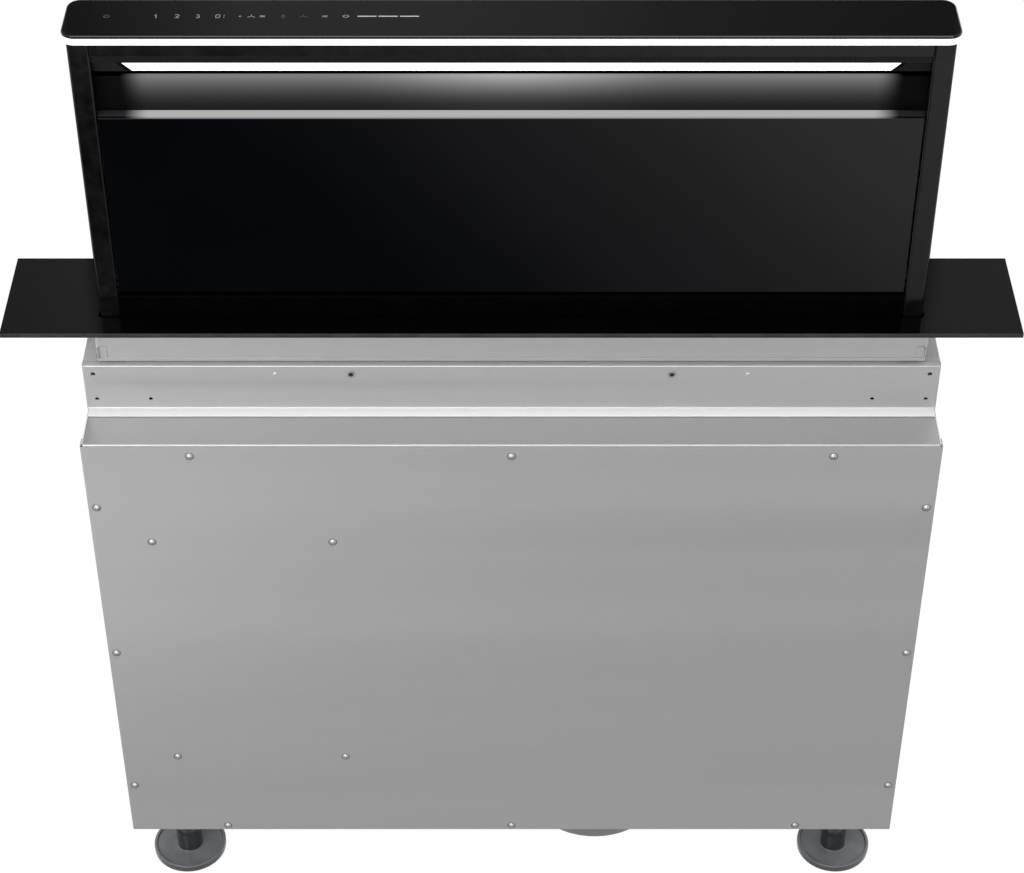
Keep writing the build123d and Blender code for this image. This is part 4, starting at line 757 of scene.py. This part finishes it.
def islands(shape: Mesh) -> list[list[bmesh.types.BMVert]]:
    """Finds the separate shells of a mesh.

    Args:
        shape: The mesh.

    Returns:
        The vertices of each shell.
    """
    left = set(shape.verts)
    found = []
    while left:
        queue = [left.pop()]
        shell = []
        while queue:
            vert = queue.pop()
            shell.append(vert)
            for edge in vert.link_edges:
                other = edge.other_vert(vert)
                if other in left:
                    left.remove(other)
                    queue.append(other)
        found.append(shell)
    return found


# --- sub-assemblies
Painted = tuple[tuple[Finish, str], ...]
Softened = tuple[tuple[Any, ...], ...]


@dataclass
class SubAssembly:
    """A group of nodes that is dressed together.

    Attributes:
        edge: How wide its rounded edges are.
        softened: The nodes that get rounded edges: finish, names, and the rim's finish if any.
        painted: The nodes that keep their shape: finish and names.
    """

    edge: float = 0.3 * MM
    softened: Softened = ()
    painted: Painted = ()

    def build(self, shop: Workshop) -> None:
        """Dresses the nodes and adds the pieces that take more than a finish.

        Args:
            shop: The workshop.
        """
        for finish, names, *rim in self.softened:
            shop.soften(finish, self.edge, names.split(), *rim)
        for finish, names in self.painted:
            shop.paint(finish, names.split())
        self.shape(shop)

    def shape(self, shop: Workshop) -> None:
        """Adds the sub-assembly's own pieces, if it has any.

        Args:
            shop: The workshop.
        """


@dataclass
class Housing(SubAssembly):
    """The steel housing: covers, side panels, shelves, neck and their fasteners."""

    softened: Softened = (
        (SATIN_STEEL, "front_cover shelf_front"),
        # Flat faces of neck and side panels get the lighter fold steel, the neck's upright faces
        # the lighter neck steel: painted light under the plate.
        (FOLD_STEEL_PAINTED_LIGHT, "neck_front neck_rear", NECK_STEEL_PAINTED_LIGHT),
        (FOLD_STEEL_PAINTED_LIGHT, "side_panel_left side_panel_right", ZINC_SHEET),
        (ZINC_SHEET, "rear_cover shelf_rear bottom_panel"),
        (BLACK_PLASTIC, "cable_gland"),
    )
    painted: Painted = (
        (ZINC_SHEET, "control_box"),
        (BOARD_GREEN, "control_board"),
        (SCREW_STEEL, "neck_rivet_nuts foot_sockets"),
    )
    head_radius: float = 4.1 * MM
    head_height: float = 2.4 * MM
    head_smooth: float = 40.0
    shank_radius: float = 1.9 * MM
    shank_length: float = 2.0 * MM
    shadow_ring_radius: float = 4.6 * MM
    shadow_ring_height: float = 0.2 * MM
    recess_radius: float = 1.5 * MM
    recess_depth: float = 1.0 * MM
    taper: float = 0.8
    head_steps: int = 18
    dome_steps: int = 6
    shadow_ring_steps: int = 24

    def shape(self, shop: Workshop) -> None:
        """Turns each screw of the frame with a driving recess, ringed by painted shadow."""
        screws = shop.copy_of("cover_screws")
        head, inner = self._head(), self.head_radius * self.taper
        # A thin dark ring round each head is painted shadow of the gap under it.
        ring = [(inner, 0.0), (self.shadow_ring_radius, 0.0), (self.shadow_ring_radius, self.shadow_ring_height),
                (inner, self.shadow_ring_height), (inner, 0.0)]
        heads, rings = [], []
        for island in islands(screws):
            low = Vector(map(min, zip(*(v.co for v in island))))
            high = Vector(map(max, zip(*(v.co for v in island))))
            middle = (low + high) / 2
            front = middle.y < 0
            face = low.y + self.head_height if front else high.y - self.head_height
            turn = Matrix.Rotation(math.radians(90 if front else -90), 4, "X")
            place = Matrix.Translation((middle.x, face, middle.z)) @ turn
            heads.append(turned(head, self.head_steps, place))
            rings.append(turned(ring, self.shadow_ring_steps, place))
        screws.free()
        shop.add(merged(heads), "cover_screw_heads", SCREW_STEEL, "housing", ["cover_screws"],
                 self.head_smooth)
        shop.add(merged(rings), "cover_screw_shadow_rings", SCREW_SHADOW, "housing")

    def _head(self) -> list[Point]:
        """Draws a screw head's profile, with its recess and the start of its shank.

        Returns:
            Radius and height of its points.
        """
        rise = self.head_height
        bow = (self.head_radius ** 2 + rise ** 2) / (2 * rise)
        outer = math.degrees(math.acos(self.head_radius / bow))
        inner = math.degrees(math.acos(self.recess_radius / bow))
        dome = arc_points((0.0, rise - bow), bow, outer, inner, self.dome_steps)
        floor = dome[-1][1] - self.recess_depth
        return [(0.0, -self.shank_length), (self.shank_radius, -self.shank_length),
                (self.shank_radius, 0.0), *dome, (self.recess_radius * self.taper, floor),
                (0.0, floor)]


@dataclass
class WorktopPlate(SubAssembly):
    """The glass plate on the worktop, its steel collar and the seal round the tower."""

    softened: Softened = (
        # The plate's upright edge faces get the ground edge with its painted highlight.
        (PLATE_GLASS, "cover_plate_glass", GROUND_EDGE_HIGHLIGHT),
        # The collar, and its clips below, get the lighter neck steel: painted light under the
        # plate.
        (NECK_STEEL_PAINTED_LIGHT, "worktop_collar"),
    )
    painted: Painted = ((SEAL_BRUSH, "slot_seal"), (NECK_STEEL_PAINTED_LIGHT, "collar_clips"))


@dataclass(frozen=True)
class Stroke:
    """A pen stroke of a mark, in millimetres: a bar, an arc if it sweeps, or a dot.

    Attributes:
        x: Where its middle is across the mark.
        y: Where its middle is along the mark.
        size: A bar's length, or the radius of an arc or a dot.
        angle: A bar's direction, or an arc's first angle.
        sweep: How far an arc turns.
        pen: The pen's width, or 0 for a dot.
    """

    x: float
    y: float
    size: float
    angle: float = 0.0
    sweep: float = 0.0
    pen: float = 0.9

    def draw(self, shape: Mesh) -> None:
        """Adds the stroke to a mesh.

        Args:
            shape: The mark's mesh.
        """
        place = (Matrix.Translation((self.x * MM, self.y * MM, 0))
                 @ Matrix.Rotation(math.radians(self.angle), 4, "Z"))
        if not self.pen:
            bmesh.ops.create_circle(shape, cap_ends=True, segments=12, radius=self.size * MM,
                                    matrix=place)
        elif self.sweep:
            ends = [shape.verts.new(place @ Vector(((self.size + side * self.pen / 2) * MM, 0, 0)))
                    for side in (-1, 1)]
            line = shape.edges.new(ends)
            bmesh.ops.spin(shape, geom=[*ends, line], cent=place.translation, axis=(0, 0, 1),
                           angle=math.radians(self.sweep), steps=10)
        else:
            stretch = Matrix.Diagonal((self.size * MM / 2, self.pen * MM / 2, 1, 1))
            bmesh.ops.create_grid(shape, x_segments=1, y_segments=1, size=1.0,
                                  matrix=place @ stretch)


class Mark(Enum):
    """The printed marks of the touch controls, as the strokes that draw them."""

    POWER = (Stroke(0, 0, 2.48, 125, 290), Stroke(0, 1.705, 2.79, 90))
    ONE = (Stroke(0.36, 0, 6.2, 90), Stroke(-0.45, 2.232, 1.984, 40))
    TWO = (Stroke(0, 1.302, 1.798, -30, 190), Stroke(0, -1.116, 4.092, 48),
           Stroke(0.09, -2.604, 4.092))
    THREE = (Stroke(0, 1.364, 1.55, -90, 230), Stroke(0, -1.24, 1.674, -140, 230))
    ZERO = (Stroke(0, 1.302, 1.798, 0, 180), Stroke(0, -1.302, 1.798, 180, 180),
            Stroke(-1.798, 0, 2.666, 90), Stroke(1.798, 0, 2.666, 90))
    COLON = (Stroke(0, -1.86, 0.675, pen=0), Stroke(0, 1.86, 0.675, pen=0))
    DOT = (Stroke(0, 0, 1.08, pen=0),)
    WING = (Stroke(0, 0.36, 0.81, pen=0), Stroke(-2.17, -1.085, 3.1, 28),
            Stroke(2.17, -1.085, 3.1, -28), Stroke(0, 1.705, 2.48, 90))
    LINES = (Stroke(0, -0.855, 4.96), Stroke(0, 0.855, 4.96))
    DROP = (Stroke(0, -0.62, 1.55, -220, 260), Stroke(-0.682, 1.395, 2.232, 62),
            Stroke(0.682, 1.395, 2.232, 118))
    DIAMOND = (Stroke(-1.55, -1.302, 3.72, -40), Stroke(-1.55, 1.302, 3.72, 40),
               Stroke(1.55, -1.302, 3.72, 40), Stroke(1.55, 1.302, 3.72, -40))
    BAR = (Stroke(0, 0, 18.0, pen=1.8),)


@dataclass
class Cap(SubAssembly):
    """The tower's cap: the glass with its touch marks, the luminous band and the core."""

    edge: float = 0.35 * MM
    painted: Painted = (
        (OPAL_BAND, "cap_light_band"),
        (BLACK_PLASTIC, "cap_carrier"),
        (BOARD_GREEN, "touch_board"),
    )
    glass_smooth: float = 30.0
    top_depth: float = 0.01 * MM
    print_height: float = 0.04 * MM
    print_share: float = 0.9
    print_y: float = 36.0 * MM
    marks: tuple[tuple[Finish, tuple[tuple[Mark, float], ...]], ...] = (
        (DIM_MARK, ((Mark.POWER, -381.0), (Mark.DROP, -214.5), (Mark.WING, -195.6))),
        (SYMBOL_MARK, ((Mark.ONE, -334.6), (Mark.TWO, -314.6), (Mark.THREE, -295.2),
                       (Mark.ZERO, -276.2), (Mark.COLON, -270.3), (Mark.DOT, -255.3),
                       (Mark.WING, -244.7), (Mark.LINES, -234.3), (Mark.LINES, -175.6),
                       (Mark.DIAMOND, -155.7))),
        (BAR_MARK, ((Mark.BAR, -135.8), (Mark.BAR, -116.1), (Mark.BAR, -96.0))),
    )

    def shape(self, shop: Workshop) -> None:
        """Rounds the glass, leaves room on it for the print, and prints the marks."""
        low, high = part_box("cap_glass")
        glass = shop.copy_of("cap_glass", joined=True)
        top = {v for v in glass.verts if v.co.z > high.z - self.top_depth}
        bmesh.ops.translate(glass, vec=(0, 0, -self.print_height), verts=list(top))
        rounded(glass, [e for e in glass.edges if top.issuperset(e.verts)], self.edge, 3)
        shop.add(glass, "cap_glass_finished", BLACK_GLASS, "tower", ["cap_glass"],
                 self.glass_smooth)
        for finish, kinds in self.marks:
            shapes = []
            for mark, x in kinds:
                place = (x * MM, low.y + self.print_y, high.z - self.print_height)
                shapes.append(self._mark(mark, Matrix.Translation(place)))
            shop.add(merged(shapes), f"touch_{finish.name}", finish, "tower")

    def _mark(self, mark: Mark, place: Matrix) -> Mesh:
        """Draws one mark as thin raised print.

        Args:
            mark: Which mark.
            place: Where it goes.

        Returns:
            The mark, its top facing up.
        """
        shape = bmesh.new()
        for stroke in mark.value:
            stroke.draw(shape)
        raised = bmesh.ops.extrude_face_region(shape, geom=list(shape.faces))
        tops = [v for v in raised["geom"] if isinstance(v, bmesh.types.BMVert)]
        bmesh.ops.translate(shape, vec=(0, 0, self.print_height * self.print_share), verts=tops)
        bmesh.ops.transform(shape, matrix=place, verts=shape.verts)
        return shape


@dataclass
class Tower(SubAssembly):
    """The lifting tower's frame: posts, fascia, light bar, deflector, apron and back."""

    softened: Softened = (
        (BLACK_ENAMEL, "tower_post_left tower_post_right tower_fascia"),
        (APRON_BLACK, "tower_apron"),
        (BLACK_GLASS, "tower_rear_panel"),
        # The top rail's brightness is painted light.
        (TRIM_PAINTED_LIGHT, "door_top_rail"),
        (SATIN_STEEL, "tower_skirt"),
    )
    # The deflector's finish holds painted shade of its recess and painted light of the light bar.
    painted: Painted = ((DARK_STEEL, "light_bar_rail"), (DEFLECTOR_SHADE_AND_LIGHT, "air_deflector"))
    lens_share: float = 0.985

    def shape(self, shop: Workshop) -> None:
        """Shortens the light bar's lens a little, so that its ends stay dark in the rail."""
        lens = shop.copy_of("light_bar_diffuser")
        bmesh.ops.scale(lens, vec=(self.lens_share, 1.0, 1.0), verts=lens.verts)
        shop.add(lens, "light_bar_lens", OPAL_LAMP, "tower", ["light_bar_diffuser"])


@dataclass
class Door(SubAssembly):
    """The glass door in front of the filters."""

    edge: float = 0.25 * MM
    # The door glass's flat edge faces carry the painted highlight; its upright faces stay black
    # glass.
    softened: Softened = ((LIT_EDGE, "front_glass", BLACK_GLASS),)
    painted: Painted = ((BLACK_ENAMEL, "door_frame"),)


@dataclass
class Filters(SubAssembly):
    """The grease filters, the frame that carries them and the drip tray."""

    painted: Painted = (
        (FILTER_MESH, "grease_filter_left grease_filter_right"),
        (ZINC_SHEET, "filter_frame filter_drip_tray"),
    )


@dataclass
class LiftGear(SubAssembly):
    """What raises the tower: its carrier, nuts, slide blocks, rails, spindles and motor."""

    painted: Painted = (
        (BLACK_ENAMEL, "lift_frame"),
        (BRONZE, "spindle_nuts"),
        (WHITE_PLASTIC, "slide_blocks"),
        (SATIN_ALUMINIUM, "guide_rails"),
        (ZINC_SHEET, "spindle_bearings motor_bracket"),
        (THREADED_STEEL, "spindle_left spindle_right"),
        (BELT_RUBBER, "sync_belt"),
        (MOTOR_PAINT, "lift_motor"),
    )


@dataclass
class Blower(SubAssembly):
    """The blower, its motor, and the way out through the floor of the housing."""

    painted: Painted = (
        (ZINC_SHEET, "blower_scroll outlet_adaptor"),
        (SATIN_ALUMINIUM, "impeller damper_flap_left damper_flap_right"),
        (MOTOR_PAINT, "blower_motor"),
    )
    flange_reach: float = 10.5 * MM
    flange_thick: float = 2.2 * MM
    socket_wall: float = 8.0 * MM
    socket_roll: float = 1.2 * MM
    socket_smooth: float = 30.0
    socket_steps: int = 96

    def shape(self, shop: Workshop) -> None:
        """Turns the exhaust socket smoothly, with its rolled rim."""
        low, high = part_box("exhaust_socket")
        middle = (low + high) / 2
        flange = (high.x - low.x) / 2
        outer, roll = flange - self.flange_reach, self.socket_roll
        bore, seat, bend = outer - self.socket_wall, high.z - self.flange_thick, low.z + roll
        profile = [(bore, bend), *arc_points((bore + roll, bend), roll, 180, 270, 4),
                   *arc_points((outer - roll, bend), roll, 270, 360, 4), (outer, seat),
                   (flange, seat), (flange, high.z), (bore, high.z), (bore, bend)]
        ring = turned(profile, self.socket_steps, Matrix.Translation((middle.x, middle.y, 0)))
        shop.add(ring, "exhaust_socket_finished", ZINC_SOCKET, "housing", ["exhaust_socket"],
                 self.socket_smooth)


@dataclass
class Feet(SubAssembly):
    """The four turning feet."""

    radius: float = 43.0 * MM
    rim: float = 9.0 * MM
    lip: float = 2.5 * MM
    wall: float = 3.5 * MM
    soft: float = 0.8 * MM
    hollow: tuple[Point, Point] = ((4.2 * MM, 0.4 * MM), (5.5 * MM, 0.0))
    chamfer: float = 1.5 * MM
    stem: float = 15.0 * MM
    flare: float = 1.2 * MM
    stud: float = 5.0 * MM
    shoulder: float = 2.5 * MM
    standing: float = 100.0 * MM
    foot_smooth: float = 28.0
    foot_steps: int = 72
    stem_slant: float = 0.7
    names: tuple[str, ...] = ("foot_front_left", "foot_front_right", "foot_rear_left",
                              "foot_rear_right")

    def shape(self, shop: Workshop) -> None:
        """Turns each foot in the place of its node."""
        for name in self.names:
            low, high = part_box(name)
            place = Matrix.Translation(((low.x + high.x) / 2, (low.y + high.y) / 2, 0))
            foot = turned(self._foot(high.z), self.foot_steps, place)
            # The flat faces get the painted reflection; the upright stem and rim sides keep the
            # black plastic.
            piece = shop.add(foot, f"{name}_finished", FOOT_DISH_PAINTED_REFLECTION, name, [name], self.foot_smooth)
            shop.second(piece, FOOT_PLASTIC, self.stem_slant)

    def _foot(self, height: float) -> list[Point]:
        """Draws a foot's profile.

        Args:
            height: The top of its stud.

        Returns:
            Radius and height of its points.
        """
        top, dish = self.standing - self.shoulder, self.rim - self.lip
        soft, edge, cut = self.soft, self.rim - self.soft, self.chamfer
        outer = arc_points((self.radius - soft, edge), soft, 0, 90, 4)
        inner = arc_points((self.radius - self.wall + soft, edge), soft, 90, 180, 4)
        flare = arc_points((self.stem + self.flare, dish + self.flare), self.flare, 270, 180, 8)
        slope = [(self.radius - inset, dish + rise) for inset, rise in self.hollow]
        return [(0.0, 0.0), (self.radius - cut, 0.0), (self.radius, cut), *outer, *inner, *slope,
                *flare, (self.stem, top - cut), (self.stem - cut, top), (self.stud, top),
                (self.stud, height), (0.0, height)]


# --- studio
def sheet(name: str, size: Point, place: Sequence[float], upright: bool) -> bpy.types.Object:
    """Makes a flat rectangle for the studio.

    Args:
        name: Its name.
        size: Its width and depth.
        place: Its middle.
        upright: Whether it stands.

    Returns:
        The rectangle.
    """
    shape = bmesh.new()
    bmesh.ops.create_grid(shape, x_segments=1, y_segments=1, size=0.5)
    bmesh.ops.scale(shape, vec=(*size, 1.0), verts=shape.verts)
    if upright:
        bmesh.ops.rotate(shape, cent=(0, 0, 0), verts=shape.verts,
                         matrix=Matrix.Rotation(math.radians(90), 3, "X"))
    data = bpy.data.meshes.new(name)
    shape.to_mesh(data)
    shape.free()
    made = bpy.data.objects.new(name, data)
    made.location = place
    bpy.context.scene.collection.objects.link(made)
    return made


def bare_material(name: str) -> bpy.types.Material:
    """Makes a material that has only its output node.

    Args:
        name: Its name.

    Returns:
        The material.
    """
    made = bpy.data.materials.new(name)
    made.use_nodes = True
    made.node_tree.nodes.remove(made.node_tree.nodes["Principled BSDF"])
    return made


@dataclass
class Lamp:
    """One soft lamp of the studio."""

    name: str
    place: Triple
    aim: Triple
    size: Point
    watts: float

    def build(self) -> None:
        """Hangs the lamp and points it."""
        data = bpy.data.lights.new(self.name, "AREA")
        data.shape = "RECTANGLE"
        data.size, data.size_y = self.size
        data.energy = self.watts
        lamp = bpy.data.objects.new(self.name, data)
        lamp.location = self.place
        way = Vector(self.aim) - Vector(self.place)
        lamp.rotation_euler = way.to_track_quat("-Z", "Y").to_euler()
        lamp.visible_camera = False
        bpy.context.scene.collection.objects.link(lamp)


@dataclass
class Card:
    """A card that only shows as a reflection in what is glossy, and throws no light."""

    name: str
    place: Triple
    size: Point
    upright: bool
    slope: Point
    shades: tuple[Point, ...]

    def build(self) -> None:
        """Sets up the card, with its shades in steps along its slope."""
        card = sheet(self.name, self.size, self.place, self.upright)
        for ray in ("camera", "diffuse", "transmission", "volume_scatter", "shadow"):
            setattr(card, f"visible_{ray}", False)
        card.data.materials.append(self._paint())

    def _paint(self) -> bpy.types.Material:
        """Makes the card's own light, which follows its shades.

        Returns:
            The material.
        """
        made = bare_material(self.name)
        wiring = Wiring(made.node_tree)
        place = {0: wiring.node("TexCoord", {})["Object"], 1: (*self.slope, 0.0)}
        along = wiring.node("VectorMath", place, operation="DOT_PRODUCT")["Value"]
        first, last = self.shades[0][0], self.shades[-1][0]
        blend = made.node_tree.nodes.new("ShaderNodeValToRGB")
        wiring.fill(blend, {"Fac": wiring.ramp(along, first, last, "LINEAR")})
        steps = blend.color_ramp.elements
        while len(steps) < len(self.shades):
            steps.new(0.5)
        for step, (reach, shade) in zip(steps, self.shades):
            step.position = (reach - first) / (last - first)
            step.color = (shade, shade, shade, 1.0)
        shine = wiring.node("Emission", {"Color": blend.outputs["Color"]})[0]
        wiring.fill(made.node_tree.nodes["Material Output"], {"Surface": shine})
        return made


@dataclass
class Studio:
    """The white studio: the photograph's camera, soft lamps and a plain floor."""

    eye: Triple = (0.0, -2.1913, 2.3934)
    pitch: float = 40.0
    lens: float = 90.78
    sensor: float = 36.0
    shift: Point = (0.0005, 0.0001)
    floor_size: float = 40.0
    floor_drop: float = 0.0005
    floor_grey: float = 0.8
    sight: float = 100.0
    backdrop: float = 0.9
    backdrop_light: float = 1.07
    ambient: float = 0.35
    lamps: list[Lamp] = field(default_factory=lambda: [
        Lamp("key_lamp", (-1.3, -1.7, 2.0), (-0.2, 0.0, 0.5), (1.0, 1.0), 16.0),
        Lamp("front_lamp", (-0.4, -3.5, 1.3), (0.0, 0.0, 0.75), (2.4, 1.2), 46.0),
        Lamp("top_lamp", (0.0, -0.9, 3.6), (0.0, -0.1, 0.7), (3.4, 1.0), 53.0),
        Lamp("back_lamp", (1.6, 2.6, 1.8), (0.0, 0.0, 0.6), (1.6, 1.6), 18.0),
    ])
    cards: list[Card] = field(default_factory=lambda: [
        Card("door_card", (0.0, -1.575, 0.001), (2.4, 0.95), False, (1.0, -0.71),
             ((-0.40, 0.03), (-0.2, 0.11), (-0.05, 0.24), (0.13, 0.36), (0.34, 0.55), (0.55, 0.8),
              (0.75, 0.95))),
        Card("cover_card", (0.0, -0.62, 0.001), (2.2, 0.92), False, (1.0, 1.67),
             ((-1.25, 1.5), (-0.76, 0.98), (-0.2, 0.46), (0.3, 0.44), (1.05, 0.46))),
        Card("cap_card", (0.0, 2.0, 2.4), (3.0, 0.9), True, (1.0, 0.0),
             ((-1.0, 0.3), (-0.86, 0.36), (-0.83, 0.11), (-0.68, 0.2), (-0.5, 0.36), (-0.2, 0.37),
              (0.1, 0.3), (0.3, 0.21), (0.5, 0.17), (0.83, 0.11), (0.86, 0.38), (1.0, 0.38))),
    ])

    def build(self) -> None:
        """Sets the camera, the lamps, the world and the floor."""
        scene = bpy.context.scene
        scene.view_settings.view_transform = "Standard"
        data = bpy.data.cameras.new("camera")
        data.lens, data.sensor_width, data.sensor_fit = self.lens, self.sensor, "HORIZONTAL"
        data.shift_x, data.shift_y = self.shift
        data.clip_end = self.sight
        camera = bpy.data.objects.new("camera", data)
        camera.location = self.eye
        camera.rotation_euler = (math.radians(90.0 - self.pitch), 0.0, 0.0)
        scene.collection.objects.link(camera)
        scene.camera = camera
        for lamp in self.lamps:
            lamp.build()
        for card in self.cards:
            card.build()
        scene.world = self._world()
        self._floor()

    def _world(self) -> bpy.types.World:
        """Makes a world that is white where it is seen or mirrored, and softer where it lights.

        Returns:
            The world.
        """
        world = bpy.data.worlds.new("studio")
        world.use_nodes = True
        wiring = Wiring(world.node_tree)
        span = {"Value": self._seen(wiring), "To Min": self.ambient, "To Max": 1.0}
        strength = wiring.node("MapRange", span)["Result"]
        wiring.fill(world.node_tree.nodes["Background"],
                    {"Color": (1, 1, 1, 1), "Strength": strength})
        return world

    @staticmethod
    def _seen(wiring: Wiring) -> Socket:
        """Finds the rays that see the background: from the camera, in gloss and through glass.

        Args:
            wiring: What adds the nodes.

        Returns:
            A socket that is 1 for those rays.
        """
        path = wiring.node("LightPath", {})
        sight = wiring.maths("MAXIMUM", path["Is Camera Ray"], path["Is Glossy Ray"])
        return wiring.maths("MAXIMUM", sight, path["Is Transmission Ray"])

    def _floor(self) -> None:
        """Lays a white floor that keeps a faint shadow of the object."""
        size = (self.floor_size, self.floor_size)
        floor = sheet("floor", size, (0, 0, -self.floor_drop), False)
        made = bare_material("studio_floor")
        wiring = Wiring(made.node_tree)
        tone = self.floor_grey
        paint = wiring.node("BsdfDiffuse", {"Color": (tone, tone, tone, 1)})[0]
        light = {"Color": (1, 1, 1, 1), "Strength": self.backdrop_light}
        shine = wiring.node("Emission", light)[0]
        share = wiring.maths("MULTIPLY", self._seen(wiring), self.backdrop)
        both = wiring.node("MixShader", {"Fac": share, 1: paint, 2: shine})[0]
        wiring.fill(made.node_tree.nodes["Material Output"], {"Surface": both})
        floor.data.materials.append(made)


def main() -> None:
    """Loads the frame, dresses each sub-assembly and sets the studio."""
    logging.basicConfig(level=logging.INFO, format="%(name)s: %(message)s")
    shop = Workshop(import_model())
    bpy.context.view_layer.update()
    for part in (Housing(), WorktopPlate(), Cap(), Tower(), Door(), Filters(), LiftGear(),
                 Blower(), Feet()):
        part.build(shop)
        log.info("%s is done", type(part).__name__)
    Studio().build()


if __name__ == "__main__":
    main()
